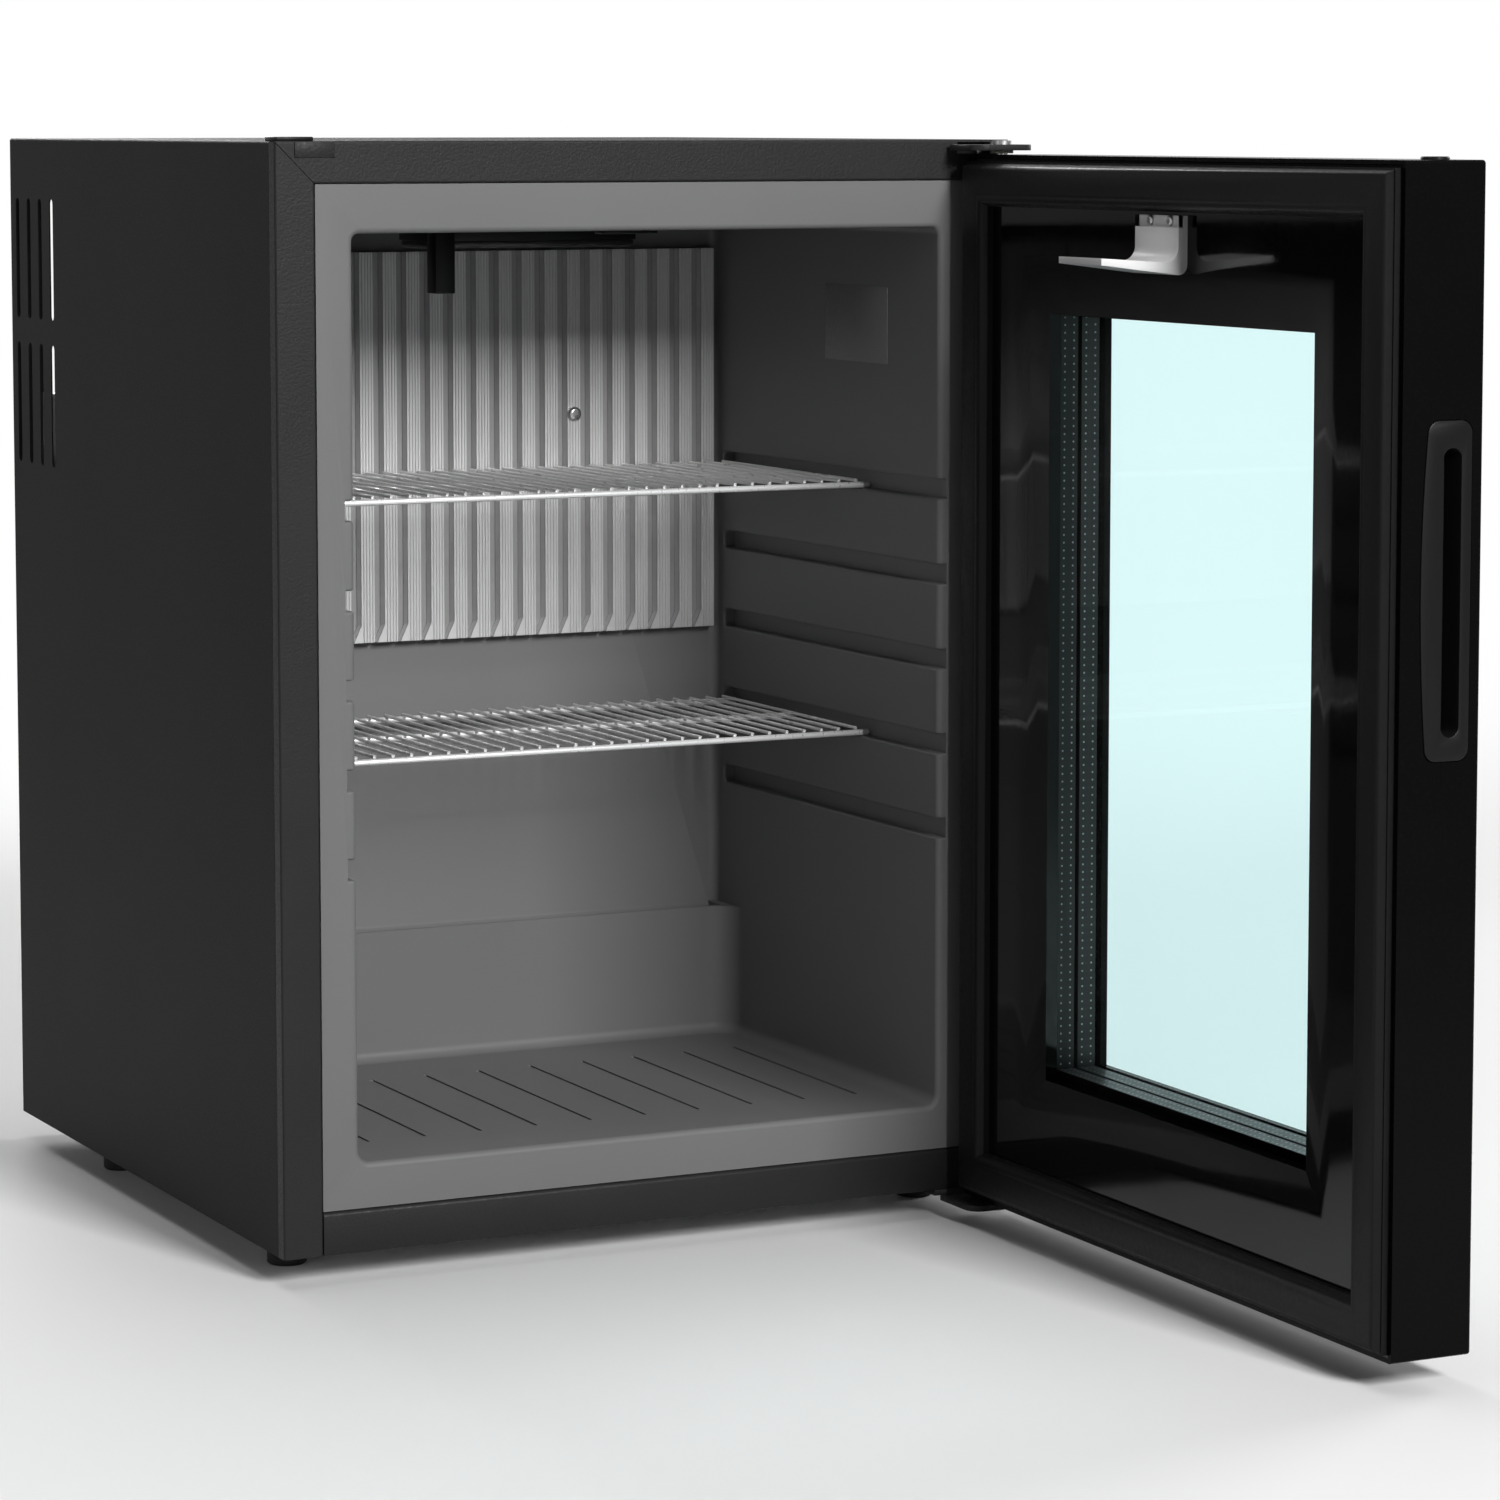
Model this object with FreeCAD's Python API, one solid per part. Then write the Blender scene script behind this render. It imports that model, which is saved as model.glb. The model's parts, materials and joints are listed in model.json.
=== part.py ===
import FreeCAD, Part
import math
import os

os.makedirs("parts", exist_ok=True)
V = FreeCAD.Vector

# A small minibar fridge with a glass door that stands square open.
# X is to the right, -Y is the front, Z is up, and the origin is on the floor under the cabinet's middle.
# All lengths are in millimetres. A height is measured from the cabinet's underside.

# Gaps
seam = 0.3
running = 0.05
overrun = 5.0

# Cabinet
cabinet_width = 402.0
cabinet_depth = 410.0
cabinet_height = 545.0
sheet = 0.8
wrap_bend = 1.5
back_return = 19.0
frame_depth = 8.0
stile_width = 20.5
top_rail_height = 20.5
bottom_rail_height = 21.7
frame_edge = 1.2
rail_bevel = 1.6
base_sheet = 1.0

# Side vents
vent_count = 8
vent_pitch = 19.3
vent_width = 6.0
vent_last_inset = 12.0
vent_drops = [(178.0, 111.5), (98.5, 32.5)]

# Feet
foot_height = 15.0
foot_radius = 10.0
foot_side_inset = 23.0
foot_front_inset = 57.0
foot_back_inset = 102.0
foot_taper = 1.0
foot_sink_radius = 4.6
foot_sink_depth = 9.0
foot_screw_radius = 2.0
foot_screw_reach = 4.0
foot_screw_head_radius = 4.0
foot_screw_head = 2.6

# Liner
liner_wall = 1.5
flange_recess = 0.5
rim_width = 8.0
side_wall_depth = 40.0
side_wall_taper = 2.0
rear_wall_depth = 151.0
floor_height = 44.5
top_wall_depth = 44.7
wall_round = 5.0
ceiling_round = 4.0
floor_round = 6.0
step_depth = 18.0
step_height = 116.0
step_round = 15.0
trough_depth = 5.0
mouth_round = 3.0

# Grooves that carry the shelves
groove_heights = [190.0, 234.0, 278.0, 322.0, 366.0]
groove_half_height = 5.0
groove_depth = 5.0
groove_end_inset = 10.0
groove_round = 3.0
groove_lip_round = 1.4

# Grooves in the floor
floor_groove_pairs = 5
floor_groove_pitch = 30.65
floor_groove_width = 2.4
floor_groove_depth = 0.8
floor_groove_front_inset = 47.0
floor_groove_back_inset = 46.0

# Drain
drain_side_inset = 95.0
drain_bore = 2.6
drain_wall = 1.4
drain_drop = 40.0
drain_bend = 8.4
drain_end_gap = 9.0
drain_low_height = 48.0
drain_mouth_height = 30.0
tray_half_length = 55.0
tray_back = 60.0
tray_height = 20.0
tray_wall = 1.5

# Foam and rear panel
unit_room_depth = 80.0
panel_gap = 0.2

# Cooling plate
plate_side_gap = 2.0
rib_pitch = 13.6
rib_half_band = 3.8
rib_front_depth = 9.0
rib_valley_depth = 3.3
plate_standoff = 1.5
plate_pad_radius = 9.0
rib_left_foot = 0.6
rib_right_foot = 1.6
rib_lines = 4
rib_line_pitch = 1.7
rib_line_half_width = 0.4
rib_line_depth = 0.5
plate_low_height = 273.0
plate_top_gap = 16.3
drip_flare_width = 4.4
drip_flare_height = 9.6
plate_screw_drop = 90.0
plate_screw_radius = 2.0
plate_screw_head_radius = 4.0
plate_screw_head = 2.5
plate_screw_reach = 12.0
block_end_gap = 20.0
block_depth = 25.0
block_half_height = 24.0

# Ceiling lamp, sensor and switch
lamp_half_length = 60.0
lamp_front_inset = 151.3
lamp_depth = 38.0
lamp_housing_height = 8.3
lamp_lens_height = 3.5
lamp_wall = 1.2
lamp_inset = 1.0
board_thickness = 1.2
board_inset = 5.0
sensor_width = 11.0
sensor_depth = 12.0
sensor_drop = 34.9
sensor_probe_radius = 2.5
sensor_probe_length = 20.0
switch_x = 5.0
switch_half_length = 15.0
switch_front_inset = 39.0
switch_depth = 12.0
switch_height = 2.5

# Label place
label_front_inset = 56.0
label_length = 70.0
label_top_gap = 32.3
label_height = 40.0
label_thickness = 0.4

# Wire shelves
upper_shelf_groove_count = 5
lower_shelf_groove_count = 2
rail_radius = 1.6
wire_radius = 0.9
weld_sink = 0.2
shelf_wires = 32
rail_end_gap = 0.8
end_wire_inset = 7.4
shelf_front_inset = 85.0
rail_spacing = 75.8
shelf_back_gap = 3.2
wire_overhang = 1.6
hook_drop = 3.4
hook_bend = 1.2

# Door
door_side_inset = 2.0
door_thickness = 43.0
door_drop = 1.5
door_top_inset = 7.5
door_gap = 7.5
open_angle = 90.0
door_wall = 2.0
door_skin = 3.7
door_edge = 1.5
window_side_margin = 76.0
window_low_margin = 77.5
window_high_margin = 79.5
panel_thickness = 2.2
bevel_side_margin = 57.0
bevel_end_margin = 54.0
lip_side_reach = 3.8
lip_low_reach = 12.5
lip_high_reach = 8.5
lip_depth = 2.5
pane_inner_depth = 9.0
pane_thickness = 3.0
outer_pane_thickness = 4.0
spacer_depth = 10.0
spacer_width = 8.0
seal_width = 3.4
pocket_wall = 2.0

# Door gasket, with its profile as insets and heights above the door's inner face
gasket_inset = 3.5
gasket_width = 22.5
gasket_profile = [(0.0, 0.0), (0.0, 4.6), (3.5, 6.1), (6.5, 6.9), (9.5, 7.2)]
fold_height = 1.5
fold_depth = 1.2
gasket_folds = 2
magnet_inset = 10.0
magnet_width = 8.4
magnet_low = 2.2
magnet_thickness = 3.0

# Hinge
hinge_side_inset = 13.0
hinge_depth = 12.0
pin_radius = 3.0
pin_reach = 12.0
pin_head_radius = 5.0
pin_head = 2.0
bush_radius = 5.0
bush_length = 14.0
washer_radius = 6.0
washer_thickness = 1.5
bracket_thickness = 3.0
bracket_gap = 2.1
bracket_low_gap = 1.8
bracket_left_reach = 21.0
bracket_right_reach = 14.0
bracket_front_reach = 11.5
bracket_step_gap = 3.0
bracket_round = 8.0
neck_left_reach = 14.0
neck_right_reach = 3.0
anchor_left_reach = 26.0
anchor_right_reach = 9.0
anchor_front_inset = 11.0
anchor_length = 34.0
anchor_thickness = 5.0
hinge_screw_radius = 2.0
hinge_screw_head_radius = 3.5
hinge_screw_head = 1.3
hinge_screw_insets = [20.0, 35.0]
slot_left_reach = 15.0
slot_right_reach = 4.0
slot_low_margin = 1.8
slot_high_margin = 1.2
slot_cover_lip = 0.8
slot_cover_proud = 0.6
slot_cover_reach = 5.0
corner_cap_length = 19.0
corner_cap_depth = 16.0
corner_cap_height = 2.0

# Recessed grip in the door's free edge
grip_inner_depth = 10.4
grip_outer_depth = 37.0
grip_low_height = 270.0
grip_high_height = 422.5
grip_bow = 3.0
grip_round = 6.0
grip_reach = 16.0
grip_proud = 0.6
slot_inner_depth = 22.0
slot_outer_depth = 31.3
finger_low_height = 281.0
finger_high_height = 410.0
finger_reach = 13.0

# Cap on the door's top edge
door_cap_radius = 6.5
door_cap_inset = 7.5
door_cap_depth = 20.5
door_cap_proud = 1.5
door_cap_plug_radius = 4.0
door_cap_plug = 8.0

# White arm under the door's top
striker_x = 4.0
striker_half_width = 20.0
striker_leg = 5.0
striker_top_drop = 27.5
striker_arm_drop = 46.5
striker_low_drop = 55.5
striker_tip_drop = 50.0
striker_reach = 47.0
striker_round = 4.0
striker_screw_drop = 32.5
striker_screw_offset = 9.0
striker_screw_radius = 1.5
striker_screw_head_radius = 3.2
striker_screw_head = 1.8
striker_screw_reach = 8.0

# Cooling unit
unit_back_inset = 42.0
boiler_side_inset = 44.0
jacket_half_width = 32.5
jacket_half_depth = 30.0
jacket_low_height = 120.0
jacket_top_gap = 50.0
jacket_wall = 0.8
jacket_round = 6.0
boiler_radius = 11.0
boiler_wall = 2.0
boiler_low_height = 95.0
boiler_top_drop = 35.0
heater_offset = 19.0
heater_radius = 6.0
heater_low_height = 135.0
heater_length = 110.0
tube_radius = 7.0
tube_wall = 1.5
tube_bend = 22.0
condenser_drop = 55.0
condenser_end_inset = 40.0
meeting_gap = 10.0
fin_first_gap = 47.0
fin_pitch = 15.0
fin_half_side = 18.0
fin_thickness = 0.6
fin_gap = 0.2
evaporator_gap = 14.0
evaporator_turn_gap = 38.0
return_drop = 59.0
coil_right_inset = 20.0
coil_left_gap = 72.0
coil_pitch = 50.0
vessel_radius = 23.0
vessel_wall = 2.0
vessel_height = 75.0
vessel_left_gap = 77.0
vessel_side_inset = 31.0
exchanger_radius = 9.0
exchanger_bend = 16.0
bar_half_width = 6.5
bar_thickness = 3.0
fins_before_bar = 5
bar_low_height = 60.0
bar_top_drop = 30.0
arm_half_height = 4.0
jacket_bracket_low_inset = 60.0
jacket_bracket_high_inset = 65.0
jacket_bracket_half_width = 15.0

# Control box
box_side_inset = 9.0
box_width = 88.0
box_depth = 60.0
box_back_inset = 5.0
box_height = 54.0
box_wall = 2.0
box_cover = 2.0
inlet_inset = 27.0
inlet_half_width = 13.5
inlet_half_height = 10.0
inlet_reach = 18.0
inlet_flange = 4.0
inlet_flange_thickness = 2.0
inlet_wall = 2.0
inlet_pin_radius = 1.2
inlet_pin_spacing = 7.0

# Places that follow from the sizes
side_x = cabinet_width / 2
front_y = -cabinet_depth / 2
back_y = cabinet_depth / 2
bottom_z = foot_height
top_z = bottom_z + cabinet_height
wrap_front = front_y + frame_depth + seam
flange_front = front_y + flange_recess
flange_back = flange_front + liner_wall
rail_inner_z = top_z - top_rail_height
bottom_rail_z = bottom_z + bottom_rail_height
base_top = bottom_z + base_sheet
foam_back = back_y - unit_room_depth

# Places in the food space
floor_z = bottom_z + floor_height
ceiling_height = cabinet_height - top_wall_depth
ceiling_z = bottom_z + ceiling_height
step_z = bottom_z + step_height
cavity_half_front = side_x - side_wall_depth
cavity_half_back = cavity_half_front - side_wall_taper
cavity_back = back_y - rear_wall_depth
step_front = cavity_back - step_depth
groove_half_reach = cavity_half_front + groove_depth
groove_end = cavity_back - groove_end_inset
floor_groove_front = front_y + floor_groove_front_inset
floor_groove_back = step_front - floor_groove_back_inset
drain_x = side_x - drain_side_inset
drain_end = foam_back + drain_end_gap
lamp_front = front_y + lamp_front_inset
switch_front = front_y + switch_front_inset
label_front = front_y + label_front_inset
label_back = label_front + label_length
label_high_height = ceiling_height - label_top_gap
label_low_height = label_high_height - label_height
rail_half_length = groove_half_reach - rail_end_gap
shelf_front = front_y + shelf_front_inset
shelf_back = groove_end - shelf_back_gap
shelf_middle = shelf_back - rail_spacing

# Places on the door and its hinge
door_face = front_y - door_gap
door_half = side_x - door_side_inset
door_low = bottom_z - door_drop
door_high = top_z - door_top_inset
hinge_x = door_half - hinge_side_inset
hinge_y = door_face - hinge_depth
top_bracket_low = door_high + bracket_gap
top_bracket_high = top_bracket_low + bracket_thickness
low_bracket_high = door_low - bracket_low_gap
low_bracket_low = low_bracket_high - bracket_thickness
bracket_left = hinge_x - bracket_left_reach
bracket_right = hinge_x + bracket_right_reach
bracket_front = hinge_y - bracket_front_reach
bracket_step = front_y - bracket_step_gap
neck_left = hinge_x - neck_left_reach
neck_right = hinge_x + neck_right_reach
anchor_left = hinge_x - anchor_left_reach
anchor_right = hinge_x + anchor_right_reach
anchor_front = front_y + anchor_front_inset
anchor_back = anchor_front + anchor_length
slot_left = hinge_x - slot_left_reach
slot_right = hinge_x + slot_right_reach
slot_low = top_bracket_low - slot_low_margin
slot_high = top_bracket_high + slot_high_margin

# Places in the cooling unit
unit_y = back_y - unit_back_inset
boiler_x = -side_x + boiler_side_inset
condenser_height = cabinet_height - condenser_drop
boiler_high_height = condenser_height - boiler_top_drop
jacket_high_height = boiler_high_height - jacket_top_gap
jacket_bracket_heights = [
    jacket_low_height + jacket_bracket_low_inset,
    jacket_high_height - jacket_bracket_high_inset,
]
bar_high_height = cabinet_height - bar_top_drop
vessel_left_x = boiler_x + vessel_left_gap
vessel_right_x = side_x - vessel_side_inset
condenser_end_x = vessel_right_x - condenser_end_inset
meeting_y = foam_back + meeting_gap
fin_first_x = boiler_x + fin_first_gap
fin_count = int((condenser_end_x - tube_bend - fin_first_x) / fin_pitch)
evaporator_left_x = fin_first_x
evaporator_y = cavity_back + evaporator_gap
evaporator_turn_y = cavity_back + evaporator_turn_gap
block_half_length = -evaporator_left_x - block_end_gap
plate_high_height = ceiling_height - plate_top_gap
plate_screw_height = plate_high_height - plate_screw_drop
rib_pairs = int((cavity_half_back - plate_side_gap - rib_pitch / 2) / rib_pitch)
plate_screw_ribs = int(block_half_length / rib_pitch) - 1
return_height = plate_screw_height - return_drop
coil_right_x = vessel_right_x - coil_right_inset
coil_left_x = boiler_x + coil_left_gap
coil_room = return_height - vessel_height - vessel_radius - tube_bend
coil_runs = 2 * int(coil_room / (2 * coil_pitch))
coil_low_height = return_height - coil_runs * coil_pitch
box_left = -side_x + box_side_inset
box_right = box_left + box_width
box_back = back_y - box_back_inset
box_front = box_back - box_depth
inlet_x = box_left + inlet_inset

# Outlines of the liner's flange and the door
flange_rect = (
    -side_x + stile_width + seam,
    side_x - stile_width - seam,
    bottom_rail_z + seam,
    rail_inner_z - seam,
)
door_rect = (-door_half, door_half, door_low, door_high)


# Building blocks

def block(x0, x1, y0, y1, z0, z1):
    return Part.makeBox(x1 - x0, y1 - y0, z1 - z0, V(x0, y0, z0))


def rod(start, direction, radius, length):
    return Part.makeCylinder(radius, length, start, direction)


def dome(place, direction, radius, height):
    """A round head that stands on the place, with its far rim rounded."""
    top = place + direction * height
    head = rod(place, direction, radius, height)
    return rounded(head, height / 2, lambda e, p: e.CenterOfMass.isEqual(top, seam / 10))


def prism(points, travel):
    """A solid swept from a flat outline of straight sides."""
    return Part.Face(Part.makePolygon(points + points[:1])).extrude(travel)


def joined(shapes):
    first, rest = shapes[0], shapes[1:]
    return first.fuse(rest).removeSplitter() if rest else first


def rounded(shape, radius, wanted):
    """The shape with each edge whose middle the test accepts rounded."""
    edges = [e for e in shape.Edges if wanted(e, e.valueAt((e.FirstParameter + e.LastParameter) / 2))]
    return shape.makeFillet(radius, edges)


def along(edge, direction):
    """True for a straight edge along the direction."""
    if not isinstance(edge.Curve, (Part.Line, Part.LineSegment)):
        return False
    return abs(abs(edge.tangentAt(edge.FirstParameter).dot(direction)) - 1) < 1e-6


def same(a, b):
    return abs(a - b) < seam / 10


def bent_path(points, bend):
    """Straight runs through the points, with each corner an arc of the bend's radius."""
    pieces = []
    start = points[0]
    for before, corner, after in zip(points, points[1:], points[2:]):
        way_in = (corner - before).normalize()
        way_out = (after - corner).normalize()
        turn = math.acos(max(-1.0, min(1.0, way_in.dot(way_out))))
        setback = bend * math.tan(turn / 2)
        arc_start = corner - way_in * setback
        arc_end = corner + way_out * setback
        inward = (way_out - way_in).normalize()
        centre = corner + inward * (bend / math.cos(turn / 2))
        arc_middle = centre - inward * bend
        pieces.append(Part.LineSegment(start, arc_start).toShape())
        pieces.append(Part.Arc(arc_start, arc_middle, arc_end).toShape())
        start = arc_end
    pieces.append(Part.LineSegment(start, points[-1]).toShape())
    return Part.Wire(pieces)


def bent_rod(points, radius, bend):
    """A round bar that follows the bent path."""
    direction = (points[1] - points[0]).normalize()
    circle = Part.Wire([Part.Circle(points[0], direction, radius).toShape()])
    return bent_path(points, bend).makePipeShell([circle], True, True)


def bent_tube(points, radius, wall, bend):
    return bent_rod(points, radius, bend).cut(bent_rod(points, radius - wall, bend))


def inset(rect, amount):
    x0, x1, z0, z1 = rect
    return (x0 + amount, x1 - amount, z0 + amount, z1 - amount)


def rect_wire(rect, y):
    x0, x1, z0, z1 = rect
    corners = [V(x0, y, z0), V(x1, y, z0), V(x1, y, z1), V(x0, y, z1)]
    return Part.makePolygon(corners + corners[:1])


def rect_block(rect, y0, y1):
    x0, x1, z0, z1 = rect
    return block(x0, x1, y0, y1, z0, z1)


def rect_stack(levels):
    """A solid with straight sides through rectangles at several places along Y."""
    return Part.makeLoft([rect_wire(rect, y) for rect, y in levels], True, True)


def ring(outer, inner, y0, y1):
    return rect_block(outer, y0, y1).cut(rect_block(inner, y0 - overrun, y1 + overrun))


def shell_box(x0, x1, y0, y1, z0, z1, wall, open_side):
    """A thin box that is open on one side, named as -Y, +Y, -Z or +Z."""
    reach = wall + overrun
    room = block(
        x0 + wall,
        x1 - wall,
        y0 + wall - (reach if open_side == "-Y" else 0),
        y1 - wall + (reach if open_side == "+Y" else 0),
        z0 + wall - (reach if open_side == "-Z" else 0),
        z1 - wall + (reach if open_side == "+Z" else 0),
    )
    return block(x0, x1, y0, y1, z0, z1).cut(room)


def door_y(depth):
    """The place along Y, with the door shut, of a depth from the door's inner face."""
    return door_face - depth


def opened(shape):
    """A door piece, modelled with the door shut, turned to its square open place."""
    turned = shape.copy()
    turned.rotate(V(hinge_x, hinge_y, 0), V(0, 0, 1), open_angle)
    return turned


# Cabinet shell and front frame

def vent_cuts():
    cuts = []
    last_y = back_y - vent_last_inset
    radius = vent_width / 2
    span = cabinet_width + 2 * overrun
    for low, high in vent_drops:
        for number in range(vent_count):
            y = last_y - number % (vent_count // 2) * vent_pitch
            z0 = top_z - low + radius
            z1 = top_z - high - radius
            slot = block(-span / 2, span / 2, y - radius, y + radius, z0, z1)
            ends = [rod(V(-span / 2, y, z), V(1, 0, 0), radius, span) for z in (z0, z1)]
            cuts.append(joined([slot] + ends))
    return cuts


def make_outer_wrap():
    body = block(-side_x, side_x, wrap_front, back_y, bottom_z, top_z)
    body = rounded(body, wrap_bend, lambda e, p: along(e, V(0, 1, 0)) and same(p.z, top_z))
    room = block(
        -side_x + sheet,
        side_x - sheet,
        wrap_front - overrun,
        back_y + overrun,
        bottom_z - overrun,
        top_z - sheet,
    )
    shell = body.cut(room)
    rear = block(-side_x + sheet, side_x - sheet, back_y - sheet, back_y, bottom_z, top_z - sheet)
    gap = block(
        -side_x + back_return,
        side_x - back_return,
        back_y - overrun,
        back_y + overrun,
        bottom_z - overrun,
        top_z - back_return,
    )
    return joined([shell, rear.cut(gap)]).cut(vent_cuts())


def make_front_stile(side):
    inner_x = side_x - stile_width
    seam_drop = seam * math.sqrt(2)
    outline = [
        V(side * side_x, front_y, bottom_z),
        V(side * inner_x, front_y, bottom_z),
        V(side * inner_x, front_y, rail_inner_z - seam_drop),
        V(side * side_x, front_y, top_z - seam_drop),
    ]
    stile = prism(outline, V(0, frame_depth, 0))
    return rounded(
        stile,
        frame_edge,
        lambda e, p: along(e, V(0, 0, 1)) and same(p.y, front_y),
    )


def make_front_top_rail():
    outline = [
        V(-side_x, front_y, top_z),
        V(side_x, front_y, top_z),
        V(side_x - stile_width, front_y, rail_inner_z),
        V(-side_x + stile_width, front_y, rail_inner_z),
    ]
    rail = prism(outline, V(0, frame_depth, 0))
    rail = rounded(rail, frame_edge, lambda e, p: along(e, V(1, 0, 0)) and same(p.y, front_y))
    slots = [
        block(
            *sorted([side * slot_left, side * slot_right]),
            front_y - overrun,
            front_y + frame_depth + overrun,
            slot_low,
            slot_high,
        )
        for side in (-1, 1)
    ]
    return rail.cut(slots)


def make_front_bottom_rail():
    half = side_x - stile_width - seam
    rail = block(-half, half, front_y, front_y + frame_depth, bottom_z, bottom_rail_z)
    edges = [e for e in rail.Edges if along(e, V(1, 0, 0)) and same(e.CenterOfMass.y, front_y)]
    top = [e for e in edges if same(e.CenterOfMass.z, bottom_rail_z)]
    return rail.makeChamfer(rail_bevel, top)


def foot_places():
    x = side_x - foot_side_inset
    front = front_y + foot_front_inset
    back = back_y - foot_back_inset
    return [(-x, front), (x, front), (-x, back), (x, back)]


def make_feet():
    feet = []
    for x, y in foot_places():
        lower = Part.makeCone(foot_radius - foot_taper, foot_radius, foot_taper, V(x, y, 0), V(0, 0, 1))
        upper = rod(V(x, y, foot_taper), V(0, 0, 1), foot_radius, foot_height - foot_taper)
        sink = rod(V(x, y, 0), V(0, 0, 1), foot_sink_radius, foot_sink_depth)
        bore = rod(V(x, y, 0), V(0, 0, 1), foot_screw_radius + seam, foot_height)
        feet.append(joined([lower, upper]).cut([sink, bore]))
    return Part.makeCompound(feet)


def make_foot_screws():
    screws = []
    for x, y in foot_places():
        head = rod(
            V(x, y, foot_sink_depth - foot_screw_head), V(0, 0, 1), foot_screw_head_radius, foot_screw_head
        )
        length = base_top + foot_screw_reach - foot_sink_depth
        shank = rod(V(x, y, foot_sink_depth), V(0, 0, 1), foot_screw_radius, length)
        screws.append(joined([head, shank]))
    return Part.makeCompound(screws)


def make_base_plate():
    half = side_x - sheet - panel_gap
    plate = block(-half, half, wrap_front, back_y - sheet - panel_gap, bottom_z, base_top)
    radius = foot_screw_radius + running
    holes = [rod(V(x, y, bottom_z - overrun), V(0, 0, 1), radius, 2 * overrun) for x, y in foot_places()]
    holes += [
        rod(V(x, y, bottom_z - overrun), V(0, 0, 1), hinge_screw_radius + running, 2 * overrun)
        for x, y in hinge_screw_spots()
    ]
    return plate.cut(holes)


# Liner and foam

def cavity_half(y):
    """Half the width of the food space at a place along Y."""
    taper = (cavity_half_front - cavity_half_back) / (cavity_back - flange_front)
    return cavity_half_front - taper * (y - flange_front)


def tapered_room(y0, y1, z0, z1, grow):
    near = cavity_half(y0) + grow
    far = cavity_half(y1) + grow
    outline = [V(-near, y0, z0), V(near, y0, z0), V(far, y1, z0), V(-far, y1, z0)]
    return prism(outline, V(0, 0, z1 - z0))


def rounded_room(y0, y1, z0, z1, grow, corner, edge_z, edge_round):
    """A tapered room with round rear corners, and a round edge at one height."""
    room = tapered_room(y0, y1, z0, z1, grow)
    room = rounded(room, corner, lambda e, p: along(e, V(0, 0, 1)) and same(p.y, y1))
    return rounded(room, edge_round, lambda e, p: same(p.z, edge_z) and not same(p.y, y0))


def food_space(grow, start):
    """The food space without its shelf grooves, from a place along Y, grown on every side but the front."""
    top = ceiling_z + grow
    upper = rounded_room(
        start,
        cavity_back + grow,
        step_z - grow,
        top,
        grow,
        wall_round + grow,
        top,
        ceiling_round + grow,
    )
    lower = rounded_room(
        start,
        step_front + grow,
        floor_z - grow,
        step_z + overrun,
        grow,
        step_round + grow,
        floor_z - grow,
        floor_round + grow,
    )
    return joined([upper, lower, trough(grow)])


def shelf_grooves(grow, start):
    levels = []
    for height in groove_heights:
        z = bottom_z + height
        reach = groove_half_reach + grow
        half = groove_half_height + grow
        end = groove_end + grow
        level = block(-reach, reach, start, end, z - half, z + half)
        levels.append(
            rounded(level, groove_round + grow, lambda e, p: along(e, V(1, 0, 0)) and same(p.y, end))
        )
    return levels


def cavity(grow, start):
    return joined([food_space(grow, start)] + shelf_grooves(grow, start))


def at_mouth(edge, middle):
    across = abs(middle.x) < cavity_half_front + seam
    return same(middle.y, flange_front) and across and floor_z - seam < middle.z < ceiling_z + seam


def at_groove_lip(edge, middle):
    """True for the edges where a shelf groove meets the side wall, behind the mouth's round."""
    level = any(
        abs(middle.z - bottom_z - height) < groove_half_height + seam for height in groove_heights
    )
    on_wall = same(abs(middle.x), cavity_half(middle.y))
    return level and on_wall and middle.y > flange_front + mouth_round


def trough(grow):
    """The hollow along the top of the step that leads melt water to the drain."""
    y0 = step_front + liner_wall
    chord = cavity_back - y0
    radius = ((chord / 2) ** 2 + trough_depth**2) / (2 * trough_depth)
    centre_z = step_z + radius - trough_depth
    half = cavity_half_back - wall_round + grow
    bar = rod(V(-half, y0 + chord / 2, centre_z), V(1, 0, 0), radius + grow, 2 * half)
    keep = block(-side_x, side_x, y0 - overrun, cavity_back + grow, step_z - side_x, step_z + overrun)
    return bar.common(keep)


def trough_middle():
    return (step_front + liner_wall + cavity_back) / 2


def make_inner_liner():
    flange = rect_block(flange_rect, flange_front, flange_back)
    skirt_back = wrap_front + liner_wall
    skirt = ring(flange_rect, inset(flange_rect, liner_wall), flange_front, skirt_back)
    rim = ring(inset(flange_rect, -rim_width), flange_rect, wrap_front, skirt_back)
    walls = cavity(liner_wall, flange_front)
    liner = joined([flange, skirt, rim, walls]).cut(food_space(0, flange_front - overrun))
    liner = rounded(liner, mouth_round, at_mouth)
    liner = liner.cut(shelf_grooves(0, flange_front - overrun))
    liner = rounded(liner, groove_lip_round, at_groove_lip)
    cuts = []
    for number in range(floor_groove_pairs):
        for side in (-1, 1):
            x = side * (number + 0.5) * floor_groove_pitch
            half = floor_groove_width / 2
            cuts.append(
                block(
                    x - half,
                    x + half,
                    floor_groove_front,
                    floor_groove_back,
                    floor_z - floor_groove_depth,
                    floor_z + overrun,
                )
            )
    drain_length = 2 * (trough_depth + liner_wall)
    cuts.append(rod(V(drain_x, trough_middle(), step_z), V(0, 0, -1), drain_bore, drain_length))
    for side in (-1, 1):
        cuts.append(
            rod(
                V(side * plate_screw_x(), cavity_back - overrun, bottom_z + plate_screw_height),
                V(0, 1, 0),
                plate_screw_radius + seam,
                2 * overrun,
            )
        )
    return liner.cut(cuts)


def drain_route():
    start_z = step_z - trough_depth - liner_wall - seam
    y = trough_middle()
    return [
        V(drain_x, y, start_z),
        V(drain_x, y, start_z - drain_drop),
        V(drain_x, drain_end, bottom_z + drain_low_height),
        V(drain_x, drain_end, bottom_z + drain_mouth_height),
    ]


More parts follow.
